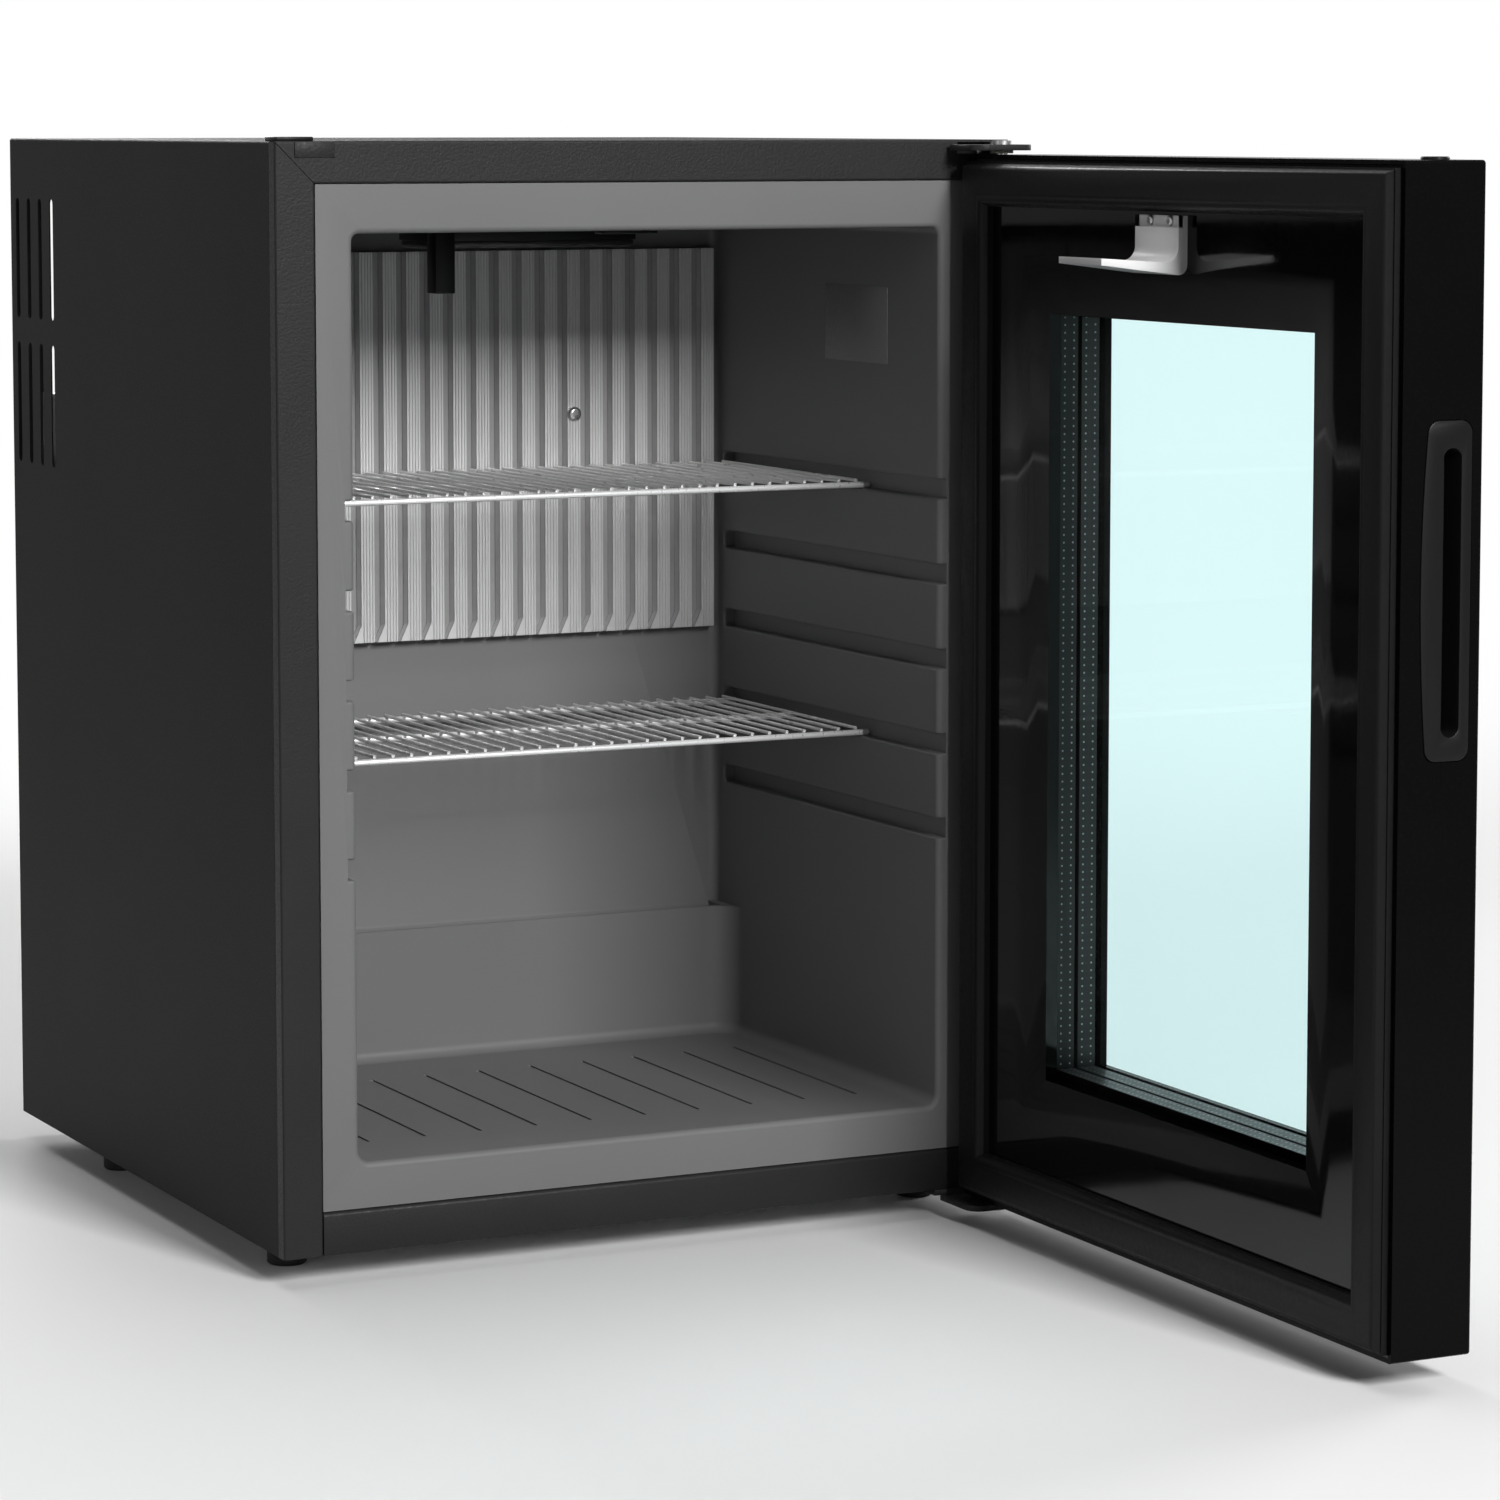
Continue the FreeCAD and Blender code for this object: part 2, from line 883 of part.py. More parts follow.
def make_drain_spout():
    return bent_tube(drain_route(), drain_bore + drain_wall, drain_wall, drain_bend)


def make_drip_tray():
    back = foam_back + sheet + panel_gap
    return shell_box(
        drain_x - tray_half_length,
        drain_x + tray_half_length,
        back + seam,
        back + tray_back,
        base_top,
        base_top + tray_height,
        tray_wall,
        "+Z",
    )


def make_insulation_foam():
    half = side_x - sheet - panel_gap
    front = wrap_front + liner_wall + seam
    main = block(-half, half, front, foam_back, base_top + panel_gap, top_z - sheet - panel_gap)
    lining = liner_wall + seam
    ring_rect = inset(flange_rect, lining)
    collar = rect_block(ring_rect, flange_back + seam, front + overrun)
    cuts = [cavity(lining, flange_front)]
    cuts.append(bent_rod(drain_route(), drain_bore + drain_wall + seam, drain_bend))
    cuts.append(
        block(
            -block_half_length - seam,
            block_half_length + seam,
            cavity_back,
            cavity_back + liner_wall + block_depth + seam,
            block_z() - block_half_height - seam,
            block_z() + block_half_height + seam,
        )
    )
    cuts.append(bent_rod(evaporator_route(), tube_radius + seam, tube_bend))
    for x, y in foot_places():
        cuts.append(
            rod(V(x, y, base_top), V(0, 0, 1), foot_screw_radius + seam, foot_screw_reach + seam)
        )
    left = anchor_left - seam
    right = anchor_right + seam
    back = anchor_back + seam
    anchor_low = top_bracket_low - anchor_thickness - seam
    cuts.append(block(left, right, front - overrun, back, anchor_low, top_z))
    cuts.append(block(left, right, front - overrun, back, base_top, base_top + anchor_thickness + seam))
    return joined([main, collar]).cut(cuts)


def make_foam_back_panel():
    half = side_x - sheet - panel_gap
    y0 = foam_back + panel_gap
    panel = block(-half, half, y0, y0 + sheet, base_top + panel_gap, top_z - sheet - panel_gap)
    return panel.cut(
        [
            bent_rod(evaporator_route(), tube_radius + seam, tube_bend),
            bent_rod(drain_route(), drain_bore + drain_wall + seam, drain_bend),
        ]
    )


# Cooling plate

def plate_screw_x():
    return plate_screw_ribs * rib_pitch


def rib_centres():
    return [number * rib_pitch for number in range(-rib_pairs, rib_pairs + 1)]


def make_evaporator_plate():
    front = cavity_back - rib_front_depth
    valley = cavity_back - rib_valley_depth
    low = bottom_z + plate_low_height
    height = plate_high_height - plate_low_height
    half = (2 * rib_pairs + 1) * rib_pitch / 2
    back = cavity_back - plate_standoff
    outline = [V(-half, back, low), V(-half, valley, low)]
    for x in rib_centres():
        outline.append(V(x - rib_half_band - rib_left_foot, valley, low))
        outline.append(V(x - rib_half_band, front, low))
        for line in range(rib_lines):
            centre = x + (line - (rib_lines - 1) / 2) * rib_line_pitch
            outline.append(V(centre - rib_line_half_width, front, low))
            outline.append(V(centre, front + rib_line_depth, low))
            outline.append(V(centre + rib_line_half_width, front, low))
        outline.append(V(x + rib_half_band, front, low))
        outline.append(V(x + rib_half_band + rib_right_foot, valley, low))
    outline += [V(half, valley, low), V(half, back, low)]
    plate = prism(outline, V(0, 0, height))
    pad_depth = cavity_back - valley
    pads = [
        rod(V(side * plate_screw_x(), valley, block_z()), V(0, 1, 0), plate_pad_radius, pad_depth)
        for side in (-1, 1)
    ]
    flares = []
    for x in rib_centres():
        edge = x - rib_half_band
        corner = [
            V(edge, front, low),
            V(edge - drip_flare_width, front, low),
            V(edge, front, low + drip_flare_height),
        ]
        flares.append(prism(corner, V(0, valley - front, 0)))
    keep = block(-half, half, front - overrun, cavity_back + overrun, low, low + height)
    holes = [
        rod(
            V(side * plate_screw_x(), cavity_back - 2 * rib_front_depth, bottom_z + plate_screw_height),
            V(0, 1, 0),
            plate_screw_radius + seam,
            3 * rib_front_depth,
        )
        for side in (-1, 1)
    ]
    return joined([plate] + flares + pads).common(keep).cut(holes)


def make_evaporator_screws():
    screws = []
    for side in (-1, 1):
        front = cavity_back - rib_front_depth
        place = V(side * plate_screw_x(), front, bottom_z + plate_screw_height)
        head = dome(place, V(0, -1, 0), plate_screw_head_radius, plate_screw_head)
        length = rib_front_depth + liner_wall + plate_screw_reach
        screws.append(joined([head, rod(place, V(0, 1, 0), plate_screw_radius, length)]))
    return Part.makeCompound(screws)


def block_z():
    return bottom_z + plate_screw_height


def make_evaporator_block():
    y0 = cavity_back + liner_wall
    z = block_z()
    half = block_half_height
    body = block(-block_half_length, block_half_length, y0, y0 + block_depth, z - half, z + half)
    bore = rod(
        V(-block_half_length - overrun, evaporator_y, block_bore_z()),
        V(1, 0, 0),
        tube_radius + running,
        2 * (block_half_length + overrun),
    )
    radius = plate_screw_radius + running
    holes = [
        rod(V(side * plate_screw_x(), y0 - overrun, z), V(0, 1, 0), radius, block_depth)
        for side in (-1, 1)
    ]
    return body.cut([bore] + holes)


def block_bore_z():
    """The height of the tube in the block, clear of the block's screws."""
    return block_z() + block_half_height / 2


def evaporator_route():
    return [
        V(condenser_end_x, meeting_y, bottom_z + condenser_height),
        V(condenser_end_x, evaporator_turn_y, bottom_z + condenser_height),
        V(condenser_end_x, evaporator_y, block_bore_z()),
        V(evaporator_left_x, evaporator_y, block_bore_z()),
        V(evaporator_left_x, evaporator_turn_y, bottom_z + return_height),
        V(evaporator_left_x, meeting_y, bottom_z + return_height),
    ]


def make_evaporator_tube():
    return bent_tube(evaporator_route(), tube_radius, tube_wall, tube_bend)


# Ceiling fittings and label

def make_lamp_housing():
    return shell_box(
        -lamp_half_length,
        lamp_half_length,
        lamp_front,
        lamp_front + lamp_depth,
        ceiling_z - lamp_housing_height,
        ceiling_z,
        lamp_wall,
        "-Z",
    )


def make_lamp_lens():
    half = lamp_half_length - lamp_inset
    top = ceiling_z - lamp_housing_height
    low = top - lamp_lens_height
    back = lamp_front + lamp_depth - lamp_inset
    lens = block(-half, half, lamp_front + lamp_inset, back, low, top)
    return rounded(lens, lamp_lens_height / 2, lambda e, p: along(e, V(1, 0, 0)) and same(p.z, low))


def make_lamp_board():
    half = lamp_half_length - board_inset
    top = ceiling_z - lamp_wall
    back = lamp_front + lamp_depth - board_inset
    return block(-half, half, lamp_front + board_inset, back, top - board_thickness, top)


def sensor_left():
    return -lamp_half_length


def make_sensor_cover():
    return shell_box(
        sensor_left(),
        sensor_left() + sensor_width,
        lamp_front - seam - sensor_depth,
        lamp_front - seam,
        ceiling_z - sensor_drop,
        ceiling_z,
        lamp_wall,
        "+Z",
    )


def make_temperature_sensor():
    low = ceiling_z - sensor_drop + lamp_wall
    place = V(sensor_left() + sensor_width / 2, lamp_front - seam - sensor_depth / 2, low)
    return rod(place, V(0, 0, 1), sensor_probe_radius, sensor_probe_length)


def make_light_switch():
    return block(
        switch_x - switch_half_length,
        switch_x + switch_half_length,
        switch_front,
        switch_front + switch_depth,
        ceiling_z - switch_height,
        ceiling_z,
    )


def make_blank_label():
    z0 = bottom_z + label_low_height
    front_x = cavity_half(label_front)
    back_x = cavity_half(label_back)
    outline = [
        V(front_x, label_front, z0),
        V(back_x, label_back, z0),
        V(back_x - label_thickness, label_back, z0),
        V(front_x - label_thickness, label_front, z0),
    ]
    return prism(outline, V(0, 0, label_high_height - label_low_height))


# Wire shelves

def make_shelf(groove_count):
    groove_z = bottom_z + groove_heights[groove_count - 1]
    rail_z = groove_z - groove_half_height + rail_radius + seam
    rails = []
    for y in (shelf_front, shelf_middle, shelf_back):
        rail = rod(V(-rail_half_length, y, rail_z), V(1, 0, 0), rail_radius, 2 * rail_half_length)
        rails.append(rounded(rail, rail_radius / 2, lambda e, p: not along(e, V(1, 0, 0))))
    wire_z = rail_z + rail_radius + wire_radius - weld_sink
    hook_y = shelf_front - rail_radius - wire_radius + weld_sink
    first = -rail_half_length + end_wire_inset
    pitch = -2 * first / (shelf_wires - 1)
    wires = []
    for number in range(shelf_wires):
        x = first + number * pitch
        route = [
            V(x, shelf_back + wire_overhang, wire_z),
            V(x, hook_y, wire_z),
            V(x, hook_y, wire_z - hook_drop),
        ]
        wires.append(bent_rod(route, wire_radius, hook_bend))
    return joined(rails + wires)


# Door

def make_door_frame():
    body = rect_block(door_rect, door_y(door_thickness), door_face)
    body = rounded(body, door_edge, lambda e, p: along(e, V(0, 1, 0)))
    body = rounded(body, door_edge, lambda e, p: same(p.y, door_y(door_thickness)))
    skin_y = door_y(door_thickness - door_skin)
    room = rect_block(inset(door_rect, door_wall), skin_y, door_face + overrun)
    window = rect_block(window_rect(), door_y(door_thickness) - overrun, skin_y + overrun)
    pocket_rect = inset(pane_rect(), -seam)
    pocket_top = door_y(pane_inner_depth + seam)
    pocket = ring(inset(pocket_rect, -pocket_wall), pocket_rect, skin_y, pocket_top)
    frame = joined([body.cut([room, window]), pocket])
    bush_length = door_high - door_low + 2 * overrun
    bush_hole = rod(V(hinge_x, hinge_y, door_low - overrun), V(0, 0, 1), bush_radius + running, bush_length)
    cap_place = V(cap_x(), door_y(door_cap_depth), door_high - overrun)
    cap_hole = rod(cap_place, V(0, 0, 1), door_cap_plug_radius + seam, 2 * overrun)
    return frame.cut([grip_body(seam), bush_hole, cap_hole])


def window_rect():
    return (
        -door_half + window_side_margin,
        door_half - window_side_margin,
        door_low + window_low_margin,
        door_high - window_high_margin,
    )


def pane_rect():
    return inset(window_rect(), -spacer_width - seal_width)


def lip_rect():
    x0, x1, z0, z1 = window_rect()
    return (x0 - lip_side_reach, x1 + lip_side_reach, z0 - lip_low_reach, z1 + lip_high_reach)


def bevel_rect():
    return (
        -door_half + bevel_side_margin,
        door_half - bevel_side_margin,
        door_low + bevel_end_margin,
        door_high - bevel_end_margin,
    )


def panel_rect():
    return inset(door_rect, door_wall + seam)


def panel_back(grow):
    """The space behind the inner panel's plate that its bevel and lip take up."""
    wide = inset(bevel_rect(), -panel_thickness - grow)
    narrow = inset(lip_rect(), -panel_thickness - grow)
    slope = rect_stack(
        [
            (wide, door_y(panel_thickness + grow)),
            (narrow, door_y(panel_thickness + lip_depth + grow)),
        ]
    )
    wall = rect_block(narrow, door_y(pane_inner_depth), door_y(panel_thickness + lip_depth))
    return joined([slope, wall])


def make_inner_door_panel():
    plate = rect_block(panel_rect(), door_y(panel_thickness), door_face)
    body = joined([plate, panel_back(0)])
    hollow = rect_stack([(bevel_rect(), door_face), (lip_rect(), door_y(lip_depth))])
    well = rect_block(lip_rect(), door_y(pane_inner_depth) - overrun, door_y(lip_depth))
    screw_holes = [
        rod(place, V(0, -1, 0), striker_screw_radius + seam, overrun) for place in striker_screw_spots()
    ]
    return body.cut([hollow, well] + screw_holes)


def make_door_foam():
    core_rect = inset(door_rect, door_wall + seam)
    front = door_y(panel_thickness + seam)
    back = door_y(door_thickness - door_skin - seam)
    core = rect_block(core_rect, back, front)
    around = inset(pane_rect(), -2 * seam - pocket_wall)
    cuts = [
        rect_block(around, back - overrun, door_y(pane_inner_depth)),
        rect_block(around, door_y(pane_inner_depth) - overrun, front + overrun),
        panel_back(seam),
        grip_body(2 * seam),
    ]
    bush = bush_radius + seam
    reach = bush_length + seam
    cuts.append(rod(V(hinge_x, hinge_y, door_low), V(0, 0, 1), bush, reach))
    cuts.append(rod(V(hinge_x, hinge_y, door_high), V(0, 0, -1), bush, reach))
    cap_place = V(cap_x(), door_y(door_cap_depth), door_high)
    cuts.append(rod(cap_place, V(0, 0, -1), door_cap_plug_radius + seam, 2 * door_cap_plug))
    for place in striker_screw_spots():
        cuts.append(rod(place, V(0, -1, 0), striker_screw_radius + seam, striker_screw_reach + seam))
    return core.cut(cuts)


def pane(depth, thickness):
    return rect_block(pane_rect(), door_y(depth + thickness), door_y(depth))


def pane_depths():
    """The depths at which the inner, middle and outer panes start."""
    step = pane_thickness + spacer_depth
    return [pane_inner_depth, pane_inner_depth + step, pane_inner_depth + 2 * step]


def make_spacer(depth):
    outer = inset(window_rect(), -spacer_width)
    return ring(outer, window_rect(), door_y(depth + spacer_depth), door_y(depth))


def make_glass_edge_seals():
    inner = inset(window_rect(), -spacer_width - panel_gap)
    seals = []
    for depth in pane_depths()[:2]:
        start = depth + pane_thickness
        seals.append(ring(pane_rect(), inner, door_y(start + spacer_depth), door_y(start)))
    return Part.makeCompound(seals)


def gasket_rect():
    return inset(door_rect, gasket_inset)


def make_door_gasket():
    outer = rect_stack([(inset(gasket_rect(), a), door_face + h) for a, h in gasket_profile])
    top = gasket_profile[-1][1]
    levels = [(inset(gasket_rect(), gasket_width), door_face)]
    for fold in range(gasket_folds):
        low = 2 * fold * fold_height
        levels.append((inset(gasket_rect(), gasket_width - fold_depth), door_face + low + fold_height))
        levels.append((inset(gasket_rect(), gasket_width), door_face + low + 2 * fold_height))
    levels.append((inset(gasket_rect(), gasket_width), door_face + top))
    inner = rect_stack(levels)
    chamber = ring(
        inset(gasket_rect(), magnet_inset - seam),
        inset(gasket_rect(), magnet_inset + magnet_width + seam),
        door_face,
        door_face + magnet_low + magnet_thickness + seam,
    )
    return outer.cut([inner, chamber])


def make_gasket_magnet():
    outer = inset(gasket_rect(), magnet_inset)
    low = door_face + magnet_low
    return ring(outer, inset(outer, magnet_width), low, low + magnet_thickness)


def grip_outline(grow):
    """The grip's outline on the door's free edge, with a bowed side towards the inner face."""
    z0 = bottom_z + grip_low_height - grow
    z1 = bottom_z + grip_high_height + grow
    middle = (z0 + z1) / 2
    outer = door_y(grip_outer_depth + grow)
    inner = door_y(grip_inner_depth + grip_bow - grow)
    bowed = door_y(grip_inner_depth - grow)
    r = grip_round
    c = r * (1 - math.sqrt(0.5))
    x = -door_half - grip_proud

    def line(a, b):
        return Part.LineSegment(V(x, *a), V(x, *b)).toShape()

    def arc(a, b, m):
        return Part.Arc(V(x, *a), V(x, *m), V(x, *b)).toShape()

    sides = [
        line((outer, z0 + r), (outer, z1 - r)),
        arc((outer, z1 - r), (outer + r, z1), (outer + c, z1 - c)),
        line((outer + r, z1), (inner - r, z1)),
        arc((inner - r, z1), (inner, z1 - r), (inner - c, z1 - c)),
        arc((inner, z1 - r), (inner, z0 + r), (bowed, middle)),
        arc((inner, z0 + r), (inner - r, z0), (inner - c, z0 + c)),
        line((inner - r, z0), (outer + r, z0)),
        arc((outer + r, z0), (outer, z0 + r), (outer + c, z0 + c)),
    ]
    return Part.Face(Part.Wire(sides))


def grip_body(grow):
    return grip_outline(grow).extrude(V(grip_proud + grip_reach + grow, 0, 0))


def make_handle_insert():
    radius = (slot_outer_depth - slot_inner_depth) / 2
    y = door_y((slot_outer_depth + slot_inner_depth) / 2)
    z0 = bottom_z + finger_low_height + radius
    z1 = bottom_z + finger_high_height - radius
    x = -door_half - grip_proud - overrun
    reach = finger_reach + grip_proud + overrun
    slot = joined(
        [block(x, x + reach, y - radius, y + radius, z0, z1)]
        + [rod(V(x, y, z), V(1, 0, 0), radius, reach) for z in (z0, z1)]
    )
    return grip_body(0).cut(slot)


def make_door_bushes():
    bushes = []
    for z, way in ((door_low, 1), (door_high, -1)):
        sleeve = rod(V(hinge_x, hinge_y, z), V(0, 0, way), bush_radius, bush_length)
        bore = rod(V(hinge_x, hinge_y, z), V(0, 0, way), pin_radius + running, bush_length)
        bushes.append(sleeve.cut(bore))
    return Part.makeCompound(bushes)


def cap_x():
    return -door_half + door_cap_inset


def make_door_hole_cap():
    place = V(cap_x(), door_y(door_cap_depth), door_high)
    button = dome(place, V(0, 0, 1), door_cap_radius, door_cap_proud)
    plug = rod(place, V(0, 0, -1), door_cap_plug_radius, door_cap_plug)
    return joined([button, plug])


# White arm on the door

def striker_screw_spots():
    z = door_high - striker_screw_drop
    return [V(striker_x + side * striker_screw_offset, door_face, z) for side in (-1, 1)]


def make_door_striker():
    x0 = striker_x - striker_half_width
    top = door_high - striker_top_drop
    arm = door_high - striker_arm_drop
    low = door_high - striker_low_drop
    tip = door_high - striker_tip_drop
    outline = [
        V(x0, door_face, low),
        V(x0, door_face + striker_reach, tip),
        V(x0, door_face + striker_reach, arm),
        V(x0, door_face + striker_leg, arm),
        V(x0, door_face + striker_leg, top),
        V(x0, door_face, top),
    ]
    arm_body = prism(outline, V(2 * striker_half_width, 0, 0))
    inner = door_face + striker_leg
    arm_body = rounded(
        arm_body,
        striker_round,
        lambda e, p: along(e, V(1, 0, 0)) and same(p.y, inner) and same(p.z, arm),
    )
    arm_body = rounded(
        arm_body,
        striker_round,
        lambda e, p: along(e, V(0, 1, 0)) and same(p.z, top),
    )
    cuts = [
        rod(V(p.x, p.y - overrun, p.z), V(0, 1, 0), striker_screw_radius + seam, striker_leg + 2 * overrun)
        for p in striker_screw_spots()
    ]
    return arm_body.cut(cuts)


def make_striker_screws():
    screws = []
    for p in striker_screw_spots():
        place = p + V(0, striker_leg, 0)
        head = dome(place, V(0, 1, 0), striker_screw_head_radius, striker_screw_head)
        shank = rod(place, V(0, -1, 0), striker_screw_radius, striker_leg + striker_screw_reach)
        screws.append(joined([head, shank]))
    return Part.makeCompound(screws)


# Hinges

def hinge_screw_spots():
    x = (anchor_left + anchor_right) / 2
    return [(x, front_y + inset) for inset in hinge_screw_insets]


def bracket_leaf(z0, z1, back):
    """The part of a hinge bracket in front of the cabinet, round at its front corners."""
    leaf = block(bracket_left, bracket_right, bracket_front, back, z0, z1)
    return rounded(leaf, bracket_round, lambda e, p: along(e, V(0, 0, 1)) and same(p.y, bracket_front))


def screw_bores(z0, z1, radius):
    return [rod(V(x, y, z0), V(0, 0, 1), radius, z1 - z0) for x, y in hinge_screw_spots()]


def make_top_hinge_bracket():
    z0, z1 = top_bracket_low, top_bracket_high
    leaf = bracket_leaf(z0, z1, bracket_step)
    neck = block(neck_left, neck_right, bracket_step - overrun, anchor_front + overrun, z0, z1)
    tail = block(anchor_left, anchor_right, anchor_front, anchor_back, z0, z1)
    bore = rod(V(hinge_x, hinge_y, z0 - overrun), V(0, 0, 1), pin_radius + running, z1 - z0 + 2 * overrun)
    bores = screw_bores(z0 - overrun, z1 + overrun, hinge_screw_radius + running)
    return joined([leaf, neck, tail]).cut([bore] + bores)


def make_bottom_hinge_bracket():
    z0, z1 = low_bracket_low, low_bracket_high
    web_front = front_y + seam
    tail_low = bottom_z - bracket_thickness
    leaf = bracket_leaf(z0, z1, web_front + bracket_thickness)
    web = block(bracket_left, anchor_right, web_front, web_front + bracket_thickness, z0, bottom_z)
    tail = block(anchor_left, anchor_right, web_front, anchor_back, tail_low, bottom_z)
    bore = rod(V(hinge_x, hinge_y, z0 - overrun), V(0, 0, 1), pin_radius + running, z1 - z0 + 2 * overrun)
    bores = screw_bores(tail_low - overrun, bottom_z + overrun, hinge_screw_radius + running)
    return joined([leaf, web, tail]).cut([bore] + bores)


def make_hinge_anchors():
    anchors = []
    for z0 in (top_bracket_low - anchor_thickness, base_top):
        z1 = z0 + anchor_thickness
        plate = block(anchor_left, anchor_right, anchor_front, anchor_back, z0, z1)
        anchors.append(plate.cut(screw_bores(z0 - overrun, z1 + overrun, hinge_screw_radius + running)))
    return Part.makeCompound(anchors)


def make_hinge_screws():
    screws = []
    tail_low = bottom_z - bracket_thickness
    for x, y in hinge_screw_spots():
        head = rod(V(x, y, top_bracket_high), V(0, 0, 1), hinge_screw_head_radius, hinge_screw_head)
        length = bracket_thickness + anchor_thickness
        shank = rod(V(x, y, top_bracket_high), V(0, 0, -1), hinge_screw_radius, length)
        screws.append(joined([head, shank]))
        low_head = rod(V(x, y, tail_low), V(0, 0, -1), hinge_screw_head_radius, hinge_screw_head)
        low_length = bracket_thickness + base_sheet + anchor_thickness
        low_shank = rod(V(x, y, tail_low), V(0, 0, 1), hinge_screw_radius, low_length)
        screws.append(joined([low_head, low_shank]))
    return Part.makeCompound(screws)


def make_hinge_pins():
    top_length = top_bracket_high - (door_high - pin_reach)
    top = rod(V(hinge_x, hinge_y, top_bracket_high), V(0, 0, -1), pin_radius, top_length)
    top_head = rod(V(hinge_x, hinge_y, top_bracket_high), V(0, 0, 1), pin_head_radius, pin_head)
    low_length = door_low + pin_reach - low_bracket_low
    low = rod(V(hinge_x, hinge_y, low_bracket_low), V(0, 0, 1), pin_radius, low_length)
    low_head = rod(V(hinge_x, hinge_y, low_bracket_low), V(0, 0, -1), pin_head_radius, pin_head)
    return Part.makeCompound([joined([top, top_head]), joined([low, low_head])])


def make_hinge_washers():
    washers = []
    for z, way in ((top_bracket_low, -1), (low_bracket_high, 1)):
        disc = rod(V(hinge_x, hinge_y, z), V(0, 0, way), washer_radius, washer_thickness)
        bore = rod(V(hinge_x, hinge_y, z), V(0, 0, way), pin_radius + running, washer_thickness)
        washers.append(disc.cut(bore))
    return Part.makeCompound(washers)


def make_hinge_slot_cover():
    plate = block(
        -slot_right - slot_cover_lip,
        -slot_left + slot_cover_lip,
        front_y - slot_cover_proud,
        front_y,
        slot_low - slot_cover_lip,
        slot_high + slot_cover_lip,
    )
    plug = block(
        -slot_right + seam,
        -slot_left - seam,
        front_y,
        front_y + slot_cover_reach,
        slot_low + seam,
        slot_high - seam,
    )
    return joined([plate, plug])


def make_top_corner_cap():
    return block(
        -side_x + wrap_bend,
        -side_x + wrap_bend + corner_cap_length,
        front_y + frame_edge,
        front_y + frame_edge + corner_cap_depth,
        top_z,
        top_z + corner_cap_height,
    )


# Cooling unit behind the foam

def panel_face():
    return foam_back + panel_gap + sheet


def jacket_box(grow):
    return block(
        boiler_x - jacket_half_width - grow,
        boiler_x + jacket_half_width + grow,
        unit_y - jacket_half_depth - grow,
        unit_y + jacket_half_depth + grow,
        bottom_z + jacket_low_height - grow,
        bottom_z + jacket_high_height + grow,
    )


def make_boiler_jacket():
    body = rounded(jacket_box(0), jacket_round, lambda e, p: along(e, V(0, 0, 1)))
    room = rounded(jacket_box(-jacket_wall), jacket_round - jacket_wall, lambda e, p: along(e, V(0, 0, 1)))
    return body.cut([room, boiler_bar(seam)])


def boiler_bar(grow):
    low = V(boiler_x, unit_y, bottom_z + boiler_low_height)
    return rod(low, V(0, 0, 1), boiler_radius + grow, boiler_high_height - boiler_low_height)


def heater_bar(grow):
    place = V(boiler_x + heater_offset, unit_y, bottom_z + heater_low_height - grow)
    return rod(place, V(0, 0, 1), heater_radius + grow, heater_length + 2 * grow)


def make_boiler_insulation():
    wool = rounded(
        jacket_box(-jacket_wall - seam), jacket_round - jacket_wall - seam, lambda e, p: along(e, V(0, 0, 1))
    )
    return wool.cut([boiler_bar(seam), heater_bar(seam)])


def make_boiler_tube():
    core = rod(
        V(boiler_x, unit_y, bottom_z + boiler_low_height + boiler_wall),
        V(0, 0, 1),
        boiler_radius - boiler_wall,
        boiler_high_height - boiler_low_height - 2 * boiler_wall,
    )
    opening = rod(
        V(boiler_x, unit_y, bottom_z + boiler_low_height),
        V(0, 0, 1),
        tube_radius - tube_wall,
        boiler_high_height - boiler_low_height,
    )
    return boiler_bar(0).cut([core, opening])


def make_heating_element():
    return heater_bar(0)


def make_condenser_tube():
    z = bottom_z + condenser_height
    route = [
        V(boiler_x, unit_y, bottom_z + boiler_high_height),
        V(boiler_x, unit_y, z),
        V(condenser_end_x, unit_y, z),
        V(condenser_end_x, meeting_y, z),
    ]
    return bent_tube(route, tube_radius, tube_wall, tube_bend)


def make_condenser_fins():
    z = bottom_z + condenser_height
    half = fin_half_side
    fins = []
    for number in range(fin_count):
        x = fin_first_x + number * fin_pitch
        plate = block(x, x + fin_thickness, unit_y - half, unit_y + half, z - half, z + half)
        bore = rod(V(x - overrun, unit_y, z), V(1, 0, 0), tube_radius + fin_gap, 2 * overrun)
        fins.append(plate.cut(bore))
    return Part.makeCompound(fins)


def make_absorber_coil():
    vessel_top = bottom_z + vessel_height + vessel_radius
    z = bottom_z + coil_low_height
    ends = [coil_right_x, coil_left_x]
    route = [V(coil_right_x, unit_y, vessel_top + panel_gap), V(coil_right_x, unit_y, z)]
    for run in range(coil_runs):
        end = ends[(run + 1) % 2]
        route.append(V(end, unit_y, z + run * coil_pitch))
        route.append(V(end, unit_y, z + (run + 1) * coil_pitch))
    route.append(V(evaporator_left_x, unit_y, z + coil_runs * coil_pitch))
    route.append(V(evaporator_left_x, meeting_y, z + coil_runs * coil_pitch))
    return bent_tube(route, tube_radius, tube_wall, tube_bend)


